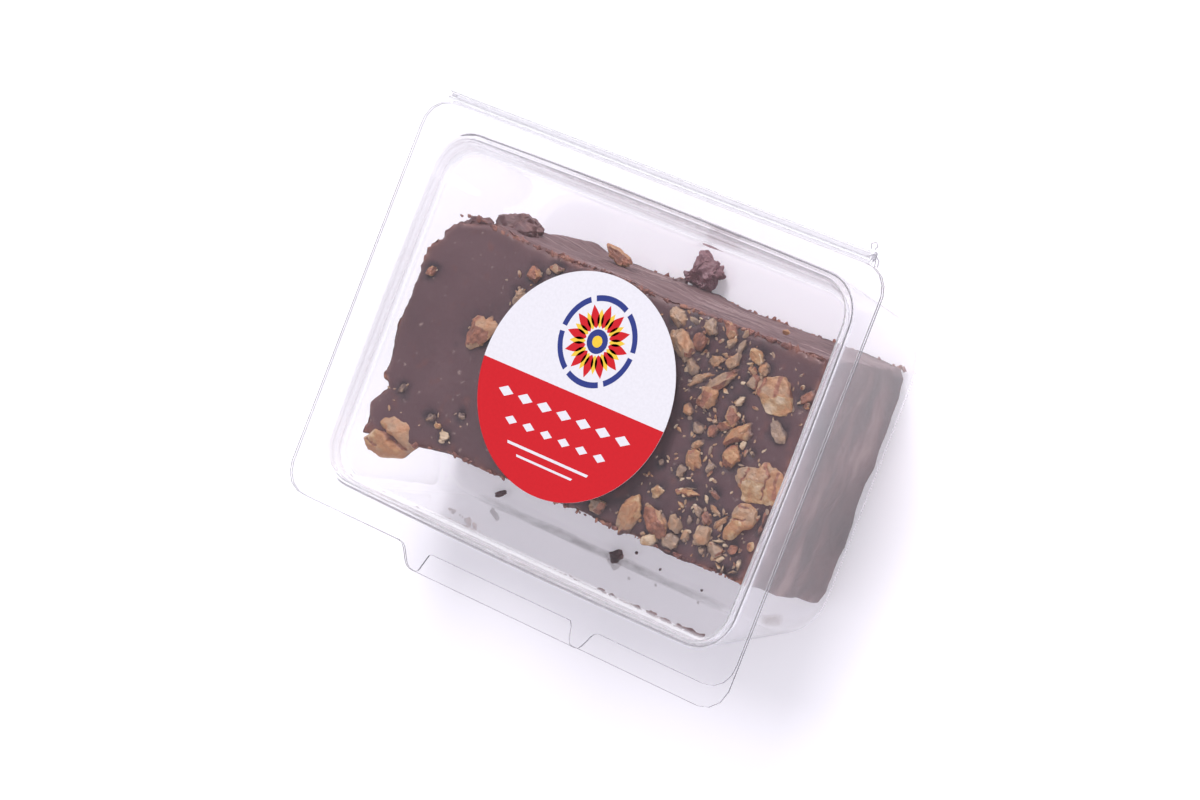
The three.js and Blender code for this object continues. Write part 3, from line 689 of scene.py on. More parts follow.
def fudge_material(name):
    """Milk chocolate fudge: dull satin where it was poured, paler and grained where it was cut."""
    material = bpy.data.materials.new(name)
    material.use_nodes = True
    nodes, links = material.node_tree.nodes, material.node_tree.links
    shader = nodes["Principled BSDF"]
    place = nodes.new("ShaderNodeTexCoord")
    clouds = add_noise(nodes, links, place, 42, 3)
    poured = add_ramp(nodes, links, clouds, [(0.3, (0.08, 0.034, 0.041)), (0.52, (0.097, 0.043, 0.051)),
                                             (0.72, (0.121, 0.058, 0.066))])
    dusty = add_range(nodes, links, add_noise(nodes, links, place, 620, 4), 0.65, 0.72)
    poured = add_mix(nodes, links, dusty, poured, (0.24, 0.16, 0.15))
    rusty = add_range(nodes, links, add_noise(nodes, links, place, 260, 5), 0.6, 0.7, 0, 0.6)
    poured = add_mix(nodes, links, rusty, poured, (0.15, 0.05, 0.045))
    streaks = add_noise(nodes, links, place, 700, 6, (0.045, 0.05, 1.5))
    dragged = add_maths(nodes, links, "ADD", streaks, add_maths(nodes, links, "MULTIPLY", clouds, 0.2))
    scraped = add_ramp(nodes, links, dragged, [(0.44, (0.08, 0.032, 0.035)), (0.55, (0.14, 0.072, 0.075)),
                                               (0.66, (0.185, 0.102, 0.103)), (0.8, (0.36, 0.26, 0.25))])
    smears_and_painted_shade = add_noise(nodes, links, place, 190, 6, (0.5, 0.3, 1.0))
    cut = add_ramp(nodes, links, smears_and_painted_shade, [(0.34, (0.036, 0.006, 0.008)), (0.47, (0.068, 0.018, 0.02)),
                                          (0.57, (0.118, 0.046, 0.047)), (0.68, (0.21, 0.12, 0.115))])
    facing = nodes.new("ShaderNodeSeparateXYZ")
    surface = nodes.new("ShaderNodeNewGeometry")
    links.new(surface.outputs["Normal"], facing.inputs["Vector"])
    upward = add_range(nodes, links, facing.outputs["Z"], 0.5, 0.85)
    backward = add_range(nodes, links, facing.outputs["Y"], 0.35, 0.7)
    colour = add_mix(nodes, links, backward, cut, scraped)
    colour = add_mix(nodes, links, upward, colour, poured)
    torn = add_ramp(nodes, links, add_noise(nodes, links, place, 420, 4),
                    [(0.35, (0.14, 0.045, 0.036)), (0.53, (0.27, 0.09, 0.06)), (0.68, (0.42, 0.18, 0.11))])
    colour = add_mix(nodes, links, add_attribute(nodes, "edge"), colour, torn)
    colour = add_mix(nodes, links, add_attribute(nodes, "dust"), colour, (0.28, 0.14, 0.17))
    # Painted shade round the pressed-in nuts: the fudge beside them is darkened nearly to black, standing in
    # for the shade of the nuts and their hollows, and partly for darker wet fudge pressed up round them.
    uneven_nut_shade = add_range(nodes, links, add_noise(nodes, links, place, 380, 4), 0.3, 0.7, -0.25, 0.3)
    painted_nut_shade = add_maths(nodes, links, "ADD", add_attribute(nodes, "painted_nut_shade"), uneven_nut_shade)
    painted_nut_shade = add_range(nodes, links, painted_nut_shade, 0.2, 0.85, 0.0, 0.9)
    colour = add_mix(nodes, links, painted_nut_shade, colour, (0.028, 0.013, 0.02))
    links.new(colour, shader.inputs["Base Color"])
    grain = add_noise(nodes, links, place, 640, 4)
    dents = add_noise(nodes, links, place, 150, 3)
    height = add_maths(nodes, links, "ADD", add_maths(nodes, links, "MULTIPLY", grain, 0.5), dents)
    height = add_maths(nodes, links, "MULTIPLY", height, add_range(nodes, links, upward, 0, 1, 0.25, 1))
    height = add_maths(nodes, links, "ADD", height, add_maths(nodes, links, "MULTIPLY", streaks, backward))
    uneven = add_bump(nodes, links, height, 0.26, 0.0004)
    links.new(uneven, shader.inputs["Normal"])
    links.new(add_range(nodes, links, upward, 0, 1, 0.75, 0.5), shader.inputs["Roughness"])
    shader.inputs["Subsurface Weight"].default_value = 0.05
    shader.inputs["Subsurface Radius"].default_value = (0.004, 0.002, 0.0015)
    shader.inputs["Subsurface Scale"].default_value = 0.4
    return material


fudge_brown = fudge_material("fudge")
slab_points, slab_faces, slab_edge, slab_nut_shade = slab_shape(slab_grid)
slab = new_object("fudge_slab", slab_points, slab_faces, fudge_brown, "tub", "fudge", 75)
point_values(slab, "edge", slab_edge)
point_values(slab, "painted_nut_shade", slab_nut_shade)
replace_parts(slab, "fudge")

# Chopped pecans
# Pecan halves broken with a knife: pale flesh on the flat broken faces, brown skin left on the round ones.
# Small pieces are sunk in the poured top, and three large ones and one whole lobe stand out of it.

nut_in_back_face = (-20, 26.6, 14, 8.2, 3.2, 3, -20)
spot_in_back_face = (34.6, 25.2, 25, 1.5, 1.2, 1.6, 0)
flake_count = 420
flake_spread = 2.7
nut_dent = 0.13
lowest_nut, tallest_nut = 0.9, 3.6
flake_shades = [0.05, 0.15, 0.3, 0.45, 0.9, 1.0]


def ball_mesh(level):
    """Vertices and faces of an even ball of radius 1, refined from an icosahedron."""
    ball = bmesh.new()
    bmesh.ops.create_icosphere(ball, subdivisions=level, radius=1)
    vertices = np.array([v.co[:] for v in ball.verts])
    faces = [[v.index for v in face.verts] for face in ball.faces]
    ball.free()
    return vertices, faces


def set_down(points, x, y, z, turn):
    """Turns points about their own middle and sets them at their place."""
    angle = math.radians(turn)
    cosine, sine = math.cos(angle), math.sin(angle)
    spin = np.array([[cosine, -sine, 0], [sine, cosine, 0], [0, 0, 1]])
    return in_row(points @ spin.T + np.array([x, y, z]))


def broken_piece(place, seed, level, shade=0.4, skin_share=0.2, cuts=9, bites=2):
    """A nut piece with ragged flat breaks. Each break has its own shade, and some are skin."""
    x, y, z, length, width, height, turn = place
    outward, faces = ball_mesh(level)
    chance = random.Random(seed)
    warp = np.column_stack([layered_noise(*(outward * 1.5).T, 1.0, seed + k, 4) for k in (1, 2, 3)])
    bent = outward + 0.24 * warp
    bent /= np.linalg.norm(bent, axis=1)[:, None]
    sharp = 34
    pull, strongest = np.zeros(len(outward)), np.zeros(len(outward))
    shades, skins = np.full(len(outward), float(shade)), np.zeros(len(outward))
    start = chance.uniform(0, 2 * math.pi)
    for k in range(cuts):
        angle = start + 2 * math.pi * (k + chance.uniform(-0.4, 0.4)) / (cuts - 1)
        normal = np.array([math.cos(angle), math.sin(angle), chance.uniform(-0.3, 0.9)])
        depth = chance.uniform(0.6, 1)
        if k == 0:
            normal = np.array([chance.gauss(0, 0.35), chance.gauss(0, 0.35), 1])
            depth = chance.uniform(0.5, 0.75)
        strength = np.maximum(0, bent @ (normal / np.linalg.norm(normal)) / depth)
        pull += strength ** sharp
        here = strength > strongest
        strongest = np.maximum(strongest, strength)
        shades[here] = shade + chance.uniform(-0.14, 0.16)
        skins[here] = 1.0 if chance.random() < skin_share else 0.0
    reach = np.clip(np.maximum(pull, 1e-6) ** (-1 / sharp), 0.4, 1.12)
    for _ in range(bites):
        angle = chance.uniform(0, 2 * math.pi)
        side = np.array([math.cos(angle), math.sin(angle), chance.uniform(0, 0.6)])
        deep, wide = chance.uniform(0.15, 0.4), chance.uniform(0.06, 0.16)
        reach *= 1 - deep * np.exp(-((bent - side) ** 2).sum(axis=1) / wide)
    reach *= 1.03 + 0.1 * layered_noise(*(outward * 3.0).T, 1.0, seed + 5, 5)
    points = outward * reach[:, None] * np.array([length, width, height]) / 2
    return set_down(points, x, y, z, turn), faces, skins, shades


def outline_reach(outline, turns):
    """Distance from the middle to an outline in each direction, its corners a little rounded."""
    starts = np.array(outline, dtype=float)
    along = np.roll(starts, -1, axis=0) - starts
    table = np.linspace(-math.pi, math.pi, 360, endpoint=False)
    reach = np.zeros(len(table))
    for index, (ax, ay) in enumerate(zip(np.cos(table), np.sin(table))):
        cross = ax * along[:, 1] - ay * along[:, 0]
        cross[np.abs(cross) < 1e-12] = 1e-12
        distance = (starts[:, 0] * along[:, 1] - starts[:, 1] * along[:, 0]) / cross
        share = (starts[:, 0] * ay - starts[:, 1] * ax) / cross
        reach[index] = distance[(share >= -1e-9) & (share <= 1 + 1e-9) & (distance > 0)].min()
    reach = sum(np.roll(reach, shift) * (5 - abs(shift)) for shift in range(-4, 5)) / 25
    return np.interp(turns, np.append(table, math.pi), np.append(reach, reach[0]))


def outlined_piece(middle, outline, planes, strokes, seed, under=1.4, rough=0.5):
    """A large piece with its own outline under a roof of planes: direction, slope, height and shade each.
    Strokes are brown grooves: start, end, width and depth."""
    outward, faces = ball_mesh(6)
    turns = np.arctan2(outward[:, 1], outward[:, 0])
    across = np.hypot(outward[:, 0], outward[:, 1])
    reach = outline_reach(outline, turns)
    boxy = (across ** 5 + np.abs(outward[:, 2]) ** 5) ** -0.2
    spread, lift = across * boxy, outward[:, 2] * boxy
    x, y = np.cos(turns) * spread * reach, np.sin(turns) * spread * reach
    bent_x = x + 0.6 * layered_noise(x, y, lift, 2.4, seed + 1, 3)
    bent_y = y + 0.6 * layered_noise(x, y, lift, 2.4, seed + 2, 3)
    roof, shades = np.full(len(x), 99.0), np.zeros(len(x))
    for direction, slope, height, shade in planes:
        angle = math.radians(direction)
        level = height - slope * (bent_x * math.cos(angle) + bent_y * math.sin(angle))
        shades = np.where(level < roof, shade, shades)
        roof = np.minimum(roof, level)
    bumps = layered_noise(x, y, lift * 2, 1.5, seed, 3)
    grains = layered_noise(x, y, lift, 0.5, seed + 9, 2)
    roof = np.maximum(roof + 0.22 * rough * bumps + 0.1 * rough * grains, 0.3)
    rim = layered_noise(x, y, lift * 3, 1.2, seed + 3, 3)
    x, y = x * (1 + 0.06 * rough * rim), y * (1 + 0.06 * rough * rim)
    z = np.where(lift > 0, lift * roof, lift * under)
    skins = 0.55 * smooth_share(bumps, 0.6, 1.1)
    for start, end, width, depth in strokes:
        line = np.array(end, dtype=float) - start
        share = np.clip(((bent_x - start[0]) * line[0] + (bent_y - start[1]) * line[1]) / (line @ line), 0, 1)
        off = np.hypot(bent_x - start[0] - share * line[0], bent_y - start[1] - share * line[1])
        trench = np.exp(-(off / width) ** 2)
        z -= trench * depth * (lift > 0)
        skins = np.maximum(skins, trench)
    return in_row(np.column_stack([x, y, z]) + np.array(middle)), faces, np.clip(skins, 0, 1), shades


def joined(pieces):
    """Several pieces as one set of vertices, faces, skin shares and shades."""
    vertices, faces, skins, shades = [], [], [], []
    for points, sides, skin, shade in pieces:
        offset = len(vertices)
        vertices.extend(points)
        faces.extend([[corner + offset for corner in side] for side in sides])
        skins.extend(skin)
        shades.extend(shade)
    return vertices, faces, skins, shades


def nut_object(name, pieces, coated_below):
    """One object of nut pieces; what lies below a height is coated with fudge."""
    vertices, faces, skins, shades = joined(pieces)
    x, y, z = (np.array(vertices) / mm).T
    dents = np.column_stack([layered_noise(x, y, z, 1.3, seed, 4) for seed in (31, 33, 35)])
    dented = np.array(vertices) + dents * nut_dent * mm
    piece = new_object(name, dented, faces, nut_tan, "tub", "pecan", 35)
    coat = smooth_share(coated_below + 0.3 * layered_noise(x, y, z, 1.1, 9, 2) - z, -0.25, 0.3)
    point_values(piece, "skin", skins)
    point_values(piece, "shade", shades)
    point_values(piece, "coat", coat)
    return piece


def nut_material():
    """Broken pecan: greyish to cream flesh, orange brown in places, with dark reddish skin."""
    material = bpy.data.materials.new("pecan")
    material.use_nodes = True
    nodes, links = material.node_tree.nodes, material.node_tree.links
    shader = nodes["Principled BSDF"]
    place = nodes.new("ShaderNodeTexCoord")
    cloud = add_range(nodes, links, add_noise(nodes, links, place, 360, 5), 0.25, 0.75, -0.3, 0.3)
    shade = add_maths(nodes, links, "ADD", add_attribute(nodes, "shade"), cloud)
    flesh = add_ramp(nodes, links, shade,
                     [(0.0, (0.3, 0.205, 0.16)), (0.25, (0.39, 0.25, 0.165)), (0.48, (0.43, 0.23, 0.125)),
                      (0.66, (0.43, 0.19, 0.088)), (0.82, (0.48, 0.28, 0.14)), (1.0, (0.66, 0.49, 0.34))])
    mottle = add_noise(nodes, links, place, 560, 5)
    skins = add_ramp(nodes, links, mottle, [(0.35, (0.16, 0.055, 0.04)), (0.65, (0.36, 0.135, 0.08))])
    brown = add_maths(nodes, links, "ADD", add_attribute(nodes, "skin"),
                      add_range(nodes, links, mottle, 0.3, 0.7, -0.25, 0.25))
    colour = add_mix(nodes, links, add_range(nodes, links, brown, 0.35, 0.7, 0, 0.92), flesh, skins)
    coat = add_maths(nodes, links, "MULTIPLY", add_attribute(nodes, "coat"), 0.85)
    colour = add_mix(nodes, links, coat, colour, (0.07, 0.032, 0.036))
    links.new(colour, shader.inputs["Base Color"])
    shader.inputs["Roughness"].default_value = 0.5
    grain = add_noise(nodes, links, place, 1100, 5)
    chips = add_noise(nodes, links, place, 430, 3)
    rough_break = add_maths(nodes, links, "ADD", add_maths(nodes, links, "MULTIPLY", grain, 0.5), chips)
    links.new(add_bump(nodes, links, rough_break, 0.85, 0.0007), shader.inputs["Normal"])
    shader.inputs["Subsurface Weight"].default_value = 0.08
    shader.inputs["Subsurface Radius"].default_value = (0.003, 0.0018, 0.001)
    shader.inputs["Subsurface Scale"].default_value = 0.4
    return material


def top_height(x, y):
    return slab_top + float(top_relief(np.array([x]), np.array([y]))[0])


def nut_flakes():
    """Fine chopped bits, thick about the nuts and thin elsewhere on the top."""
    chance = random.Random(61)
    flakes = []
    while len(flakes) < flake_count:
        crowd = small_nuts if chance.random() < 0.9 else far_nuts
        near = crowd[chance.randrange(len(crowd))]
        x, y = near[0] + chance.gauss(0, flake_spread), near[1] + chance.gauss(0, flake_spread)
        if not (-53 < x < 51.8 and -26.4 < y < 22):
            continue
        length = chance.uniform(0.4, 1.0) + 1.2 * chance.random() ** 4
        width = length * chance.uniform(0.35, 0.75)
        z = top_height(x, y) + width * 0.2
        place = (x, y, z, length, width, width * 0.8, chance.uniform(0, 360))
        flakes.append(broken_piece(place, 1000 + len(flakes), 3, chance.choice(flake_shades), 0.12, 6, 0))
    return flakes


nut_tan = nut_material()
sunk = []
for number, (x, y, length, width, turn, shade, skin_share) in enumerate(far_nuts + small_nuts):
    height = min(max(width * 0.85, lowest_nut), tallest_nut)
    place = (x, y, top_height(x, y) + 0.14 * height, length * 1.05, width * 1.05, height, turn)
    sunk.append(broken_piece(place, 100 + number, 5 if length > 4.2 else 4, shade, skin_share))
sunk_nuts = nut_object("nuts_in_slab", sunk, slab_top + 0.1)
flakes = nut_object("nut_flakes", nut_flakes(), slab_top - 0.3)
back_nuts = nut_object("nuts_in_back_face", [broken_piece(nut_in_back_face, 320, 5, 0.6, 0.4),
                                             broken_piece(spot_in_back_face, 321, 4, 0.66, 0)], -9)
for piece in (sunk_nuts, flakes, back_nuts):
    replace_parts(piece, "fudge")

blocky_nut = outlined_piece(
    (43.4, 12, 34.1),
    [(-4.2, 2.8), (0.4, 4.7), (2.2, 3.7), (3.9, 1.4), (5.3, -1.1), (4.3, -3), (1.6, -3.7),
     (-0.8, -3.8), (-2.9, -1.6), (-4.7, -0.7), (-5, 1.5)],
    [(100, 0.06, 1.6, 0.42), (-71, 0.4, 1.65, 0.84), (160, 0.5, 2.9, 0.5)],
    [((-4.1, 2.7), (-3.3, -0.9), 0.7, 0.35), ((0.4, 4), (0.7, 0.6), 0.65, 0.2),
     ((2.2, 3.6), (3.7, 1.4), 0.35, 0.1)],
    201)
ragged_nut = outlined_piece(
    (47.6, -6, 34.1),
    [(-6.2, -0.9), (-6.1, 1), (-3.7, 2.3), (-1.2, 2.7), (-0.3, 4.6), (1.6, 4.1), (4, 3.6), (5.2, 2.6),
     (5.3, 0.2), (5.2, -2.5), (4.3, -3.4), (0.2, -4.5), (-2.9, -4.8), (-2.9, -3.4), (-4.7, -1.9)],
    [(80, 0.1, 1.7, 0.36), (-88, 0.42, 1.85, 0.82), (175, 0.35, 2.6, 0.3), (12, 0.3, 2.1, 0.55)],
    [((-0.2, 4.6), (1.9, 1.6), 0.3, 0.35), ((1.9, 1.6), (1.6, -2.6), 0.3, 0.4),
     ((-3.5, 2), (-3.9, -1.4), 0.35, 0.4), ((3.4, 3), (4.8, -1.6), 0.5, 0.15)],
    202, rough=0.9)
bone_nut = outlined_piece(
    (46.5, -15.4, 34.1),
    [(-2.2, 2.6), (-1.1, 3.9), (0.9, 4.6), (3, 3.6), (3.8, 1.6), (3.2, -0.1), (1.3, -1.3),
     (0.5, -2.8), (-0.4, -4.2), (-2.1, -4.2), (-2.8, -3.1), (-2.1, -1.3), (-1.9, 0.6)],
    [(40, 0.18, 1.7, 0.45), (-120, 0.12, 1.6, 0.74), (-40, 0.4, 2.1, 0.6), (170, 0.5, 2.2, 0.36)],
    [((-1, 3.5), (0.9, 3.7), 0.55, 0.25), ((-1.2, -0.2), (1.4, 0.8), 0.35, 0.3)],
    203)
for number, shape in enumerate((blocky_nut, ragged_nut, bone_nut), start=1):
    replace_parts(nut_object(f"pecan_piece_{number}_nut", [shape], slab_top), f"pecan_piece_{number}")
lobe_nut = outlined_piece(
    (-46.8, -29.1, 32),
    [(-7.5, -3.2), (-5.1, -4.9), (-1.7, -5.4), (3.2, -4.1), (4.9, -2.1), (6.8, 0.5), (6, 2.7),
     (4.1, 4.5), (1.9, 5.2), (-0.5, 4.7), (-3, 3.2), (-4, 0.9), (-5.6, -1.6)],
    [(80, 0.42, 3.9, 0.5), (-95, 0.38, 3.3, 0.68), (185, 0.25, 3.4, 0.74), (5, 0.35, 4, 0.42)],
    [((-2.9, 0.7), (1.2, -0.8), 0.75, 1.1), ((1.2, -0.8), (4.6, -1.6), 0.8, 1.2),
     ((-5.6, -2.8), (-2.6, -3.6), 0.4, 0.3)],
    210, under=3)
half_nut = nut_object("pecan_half_nut", [lobe_nut], 30.4)
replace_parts(half_nut, "pecan_half")

# Torn crumb and loose chip
# Fudge breaks short: lumps hang on at the torn end and under the back edge, and one chip and some crumbs
# have fallen to the floor of the tub and into the groove behind its front wall.

lumps = [(-40.2, 23.6, 24.6, 11, 7.5, 9, 10), (-46.5, 21.6, 31.2, 8, 4, 4.6, 20)]
chip_middle = (-4.1, 30.1, 3.4)
chip_outline = [(-4.8, -1.4), (-2.7, -0.5), (-1.9, 2.2), (-1.6, 4.7), (0.6, 3), (2.4, 2.7), (4.8, 0.6),
                (3.4, -1.3), (2.4, -3.3), (0.2, -3.6), (-2.8, -3.1)]
chip_planes = [(60, 0.5, 3.4, 0), (-100, 0.45, 2.9, 0), (180, 0.6, 3.6, 0)]
burr_count, debris_count = 430, 95
ledge_height = 36.0
crumb_places = [(-35.2, -34.1, 1.3, 3.4, 1.2), (0.3, -36.0, 1.8, 3.2, 2.4), (0.9, -37.2, 2.6, 2.2, 1.6),
                (-9.6, 25.6, 2.2, 3.6, 3.0), (-11, 38.6, 2.6, 1.2, 0.9), (4.6, -33.6, 1.1, 0.8, 0.7),
                (12, -34.8, 1.1, 0.6, 0.5), (24, -35.2, 1.1, 0.7, 0.6)]
ledge_crumbs = [(-51.1, -41.0, 1.1), (-41.1, -41.2, 0.8), (-31, -41.1, 1.0), (1.7, -41.5, 0.7)]
# Painted shade: a dark grey veil laid along the tub's front floor bend, standing in for the slab's front face
# reflected and shadowed there.
painted_bend_shade = [(x, -36.7 + 0.15 * math.sin(x * 0.3), 3.3) for x in np.linspace(-40, 33, 40)]
corner_smear = [(40.5, -36.3, 1.2), (41.8, -35.9, 1.2), (43.2, -35.2, 1.2), (44.6, -34.5, 1.2),
                (45.8, -33.6, 1.2)]
chip_smear = [(-7.6, 35.2, 1.1), (-6.8, 36.2, 1.3), (-5.8, 37.2, 2.1), (-5.0, 37.9, 3.2)]
smear_rows, smear_depth, smear_cover = 9, 0.04, 0.5


def crumb_lump(place, seed, level, spread=0.22):
    """A lump of crumbly fudge: a ball pulled about by coarse and fine noise."""
    x, y, z, length, width, height, turn = place
    outward, faces = ball_mesh(level)
    pull = 1 + spread * layered_noise(*(outward * 1.7).T, 1.0, seed, 4)
    points = outward * pull[:, None] * np.array([length, width, height]) / 2
    none = np.zeros(len(outward))
    return set_down(points, x, y, z, turn), faces, none, none


def fudge_object(name, pieces, edge=0.15, dust=0.0):
    vertices, faces, _, _ = joined(pieces)
    piece = new_object(name, vertices, faces, fudge_brown, "tub", "fudge", 60)
    point_values(piece, "edge", [edge] * len(vertices))
    point_values(piece, "dust", [dust] * len(vertices))
    point_values(piece, "painted_nut_shade", [0.0] * len(vertices))
    return piece


def edge_burrs():
    """Small crumbs that hang on along the slab's top and foot edges."""
    chance = random.Random(83)
    burrs = []
    while len(burrs) < burr_count:
        x = chance.uniform(-50, 51)
        at_top, at_front = chance.random() < 0.6, chance.random() < 0.36
        if x < -18 and not at_top and not at_front:
            continue
        edge = along_edge(front_edge if at_front else back_edge, np.array([x]))[0]
        z = slab_top - 0.3 if at_top else slab_bottom + 0.5
        y = edge + (0 if at_top else back_flare * (not at_front)) + (-0.1 if at_front else -0.2)
        size = 0.3 + 0.9 * chance.random() ** 3
        lift = 0 if at_top else 0.4 * size
        place = (x, y, z + lift, size * 1.6, size * 0.9, size * 0.8, chance.uniform(0, 180))
        burrs.append(crumb_lump(place, 500 + len(burrs), 3 if size > 0.9 else 2, 0.42))
    return burrs


def front_debris():
    """Oily crumb dust that has slid along the groove at the foot of the lid's front wall."""
    chance = random.Random(97)
    bits = []
    for _ in range(debris_count):
        share = chance.random() ** 0.6
        x = 6 + 43 * share
        size = 0.25 + 1.2 * chance.random() ** 4 * share
        y = -40.75 + chance.uniform(-0.2, 0.35) + 0.2 * size
        place = (x, y, 35.7 - size * 0.3, size * 2.2, size, size * 0.5, chance.gauss(0, 14))
        bits.append(crumb_lump(place, 700 + len(bits), 2, 0.35))
    return bits


def crumbled(shape, seed, depth):
    """The same shape with its skin crumbled: coarse and fine dents, in millimetres."""
    points, faces, skins, shades = shape
    x, y, z = np.array(points).T / mm
    dents = np.column_stack([layered_noise(x, y, z, 2.2, seed + k, 4) for k in (1, 2, 3)])
    return np.array(points) + dents * depth * mm, faces, skins, shades


def smear_sheet(middle_line, across, tan):
    """A thin smear along a line, thickest in its middle; across is half its width as a vector."""
    middle_line, across = np.array(middle_line, float), np.array(across, float)
    count = len(middle_line)
    shares = np.linspace(-1, 1, smear_rows)
    rows = np.array([middle_line + across * share for share in shares])
    fade = np.sin(np.linspace(0, math.pi, count)) ** 0.5
    profile = np.cos(shares * math.pi / 2)[:, None] * fade
    below = rows - np.array([0, 0, smear_depth])
    vertices = np.vstack([rows.reshape(-1, 3), below.reshape(-1, 3)])
    faces, total, last = [], smear_rows * count, smear_rows - 1
    for i in range(last):
        for j in range(count - 1):
            corners = [i * count + j, i * count + j + 1, (i + 1) * count + j + 1, (i + 1) * count + j]
            faces += [corners, [corner + total for corner in reversed(corners)]]
    rim = list(range(count)) + [i * count + count - 1 for i in range(1, smear_rows)]
    rim += [last * count + j for j in reversed(range(count - 1))]
    rim += [i * count for i in reversed(range(1, last))]
    faces += [[b, a, a + total, b + total] for a, b in zip(rim, rim[1:] + rim[:1])]
    thick = np.concatenate([profile.ravel(), np.zeros(total)])
    return in_row(vertices), faces, thick, np.full(2 * total, tan)


def grease_and_shade_material():
    """Cocoa butter and crumb dust wiped on the film: a thin, cloudy, uneven veil. At its dark grey end it is
    painted shade: the veil along the tub's front floor bend stands in for the slab's front face reflected and
    shadowed in that bend.
    """
    material = bpy.data.materials.new("grease_and_painted_shade")
    material.use_nodes = True
    nodes, links = material.node_tree.nodes, material.node_tree.links
    shader = nodes["Principled BSDF"]
    place = nodes.new("ShaderNodeTexCoord")
    spots = add_range(nodes, links, add_noise(nodes, links, place, 420, 5), 0.3, 0.65, 0.6, 1.0)
    # From dark grey (painted shade in the front bend) to tan (wiped cocoa butter).
    links.new(add_mix(nodes, links, add_attribute(nodes, "tan"), (0.12, 0.1, 0.12), (0.34, 0.22, 0.16)),
              shader.inputs["Base Color"])
    cover = add_maths(nodes, links, "MULTIPLY", spots, add_attribute(nodes, "thick"))
    links.new(cover, shader.inputs["Alpha"])
    shader.inputs["Roughness"].default_value = 0.45
    return material


chip_shape = outlined_piece(chip_middle, chip_outline, chip_planes, [], 400, under=2.7, rough=2.2)
chip = fudge_object("fudge_chip_broken", [crumbled(chip_shape, 420, 0.62)], 0.15, dust=0.5)
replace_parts(chip, "fudge_chip")
lump_piece = fudge_object("fudge_lumps", [crumbled(crumb_lump(place, 300 + i, 5), 440 + i, 0.5)
                                           for i, place in enumerate(lumps)])
burr_piece = fudge_object("edge_burrs", edge_burrs(), 0.75)
for piece in (lump_piece, burr_piece):
    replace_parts(piece, "fudge")
crumbs = [crumb_lump((x, y, z, length, width, width * 0.7, 35), 600 + i, 4, 0.35)
          for i, (x, y, z, length, width) in enumerate(crumb_places)]
crumbs += [crumb_lump((x, y, ledge_height, size, size * 0.8, size * 0.7, 0), 650 + i, 3, 0.3)
           for i, (x, y, size) in enumerate(ledge_crumbs)]
loose_crumbs = fudge_object("loose_crumbs", crumbs + front_debris(), 0.04)
# Two tan veils are wiped cocoa butter; the dark one along the front bend is painted shade.
smears_and_painted_shade = [smear_sheet(painted_bend_shade, (0, -1.1, 2.0), 0.1), smear_sheet(corner_smear, (0.9, -1.5, 0), 0.9),
          smear_sheet(chip_smear, (2.6, 0.5, 0), 0.3)]
smear_points, smear_faces, smear_thick, smear_tan = joined(smears_and_painted_shade)
grease_and_shade_piece = new_object("grease_smears_and_painted_shade", smear_points, smear_faces, grease_and_shade_material(), "tub", "fudge")
point_values(grease_and_shade_piece, "thick", np.asarray(smear_thick) * smear_cover)
point_values(grease_and_shade_piece, "tan", smear_tan)

# Lid
# The other half of the same sheet: a shallow tray upside down, whose panel sinks into the tub's mouth and
# grips it. Its tab is cut away at one end, so that a thumb gets hold of one rim at a time.

pack_height = 0.042
panel_top = 0.037
plug_foot = {"x": 0.0003, "y": -0.00195, "length": 0.1128, "width": 0.0787, "corner": 0.0084}
plug_mouth = {"x": 0.0002, "y": -0.0011, "length": 0.1132, "width": 0.0818, "corner": 0.0086}
panel_bend = 0.0014


def panel_sag(x, y):
    """The panel is very slightly wavy, and flat at its edge."""
    inside = np.clip(1 - (np.abs(x) / 0.054) ** 4, 0, 1) * np.clip(1 - (np.abs(y) / 0.037) ** 4, 0, 1)
    return 0.00002 * inside * np.sin(x * 70 + 1) * np.cos(y * 60)


lid_outline = rim_outline([(0.0244, 0.0286)], False)
# The lid's milkiness is set high partly as painted sheen, for the bright band that its wall and panel bend
# reflect.
lid_shape, lid_values = film_tray(plug_foot, plug_mouth, panel_top - film, pack_height, panel_bend,
                                  mouth_bend, lid_outline, panel_sag, (0.36, 0.23, 0.14), 0.0397)
lid = film_object("lid_film", lid_shape, lid_values, "lid")
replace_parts(lid, "lid")

# Label
# A round paper label, two inches across, printed white above and red below with a rosette and a row of
# lozenges, and stuck on the sunk panel.

label_radius = 0.0254
label_centre = (drawing_x - 0.0028, drawing_y - 0.0025)
label_z = panel_top + 0.00006
label_thickness = 0.00012
ink_lift = 0.000008


def flat_shape(points, height, thickness):
    """A flat shape with thickness, from its outline."""
    count = len(points)
    low = [(x + label_centre[0], y + label_centre[1], height) for x, y in points]
    high = [(x, y, height + thickness) for x, y, _ in low]
    sides = [(k, (k + 1) % count, count + (k + 1) % count, count + k) for k in range(count)]
    return low + high, sides + [tuple(range(count, 2 * count)), tuple(reversed(range(count)))]


def circle(radius, centre=(0, 0), start=0, end=360, count=160):
    angles = np.radians(np.linspace(start, end, count, endpoint=abs(end - start) < 360))
    return [(centre[0] + radius * math.cos(a), centre[1] + radius * math.sin(a)) for a in angles]


def ring_sector(inner, outer, centre, start, end):
    return circle(outer, centre, start, end, 90) + circle(inner, centre, start, end, 90)[::-1]


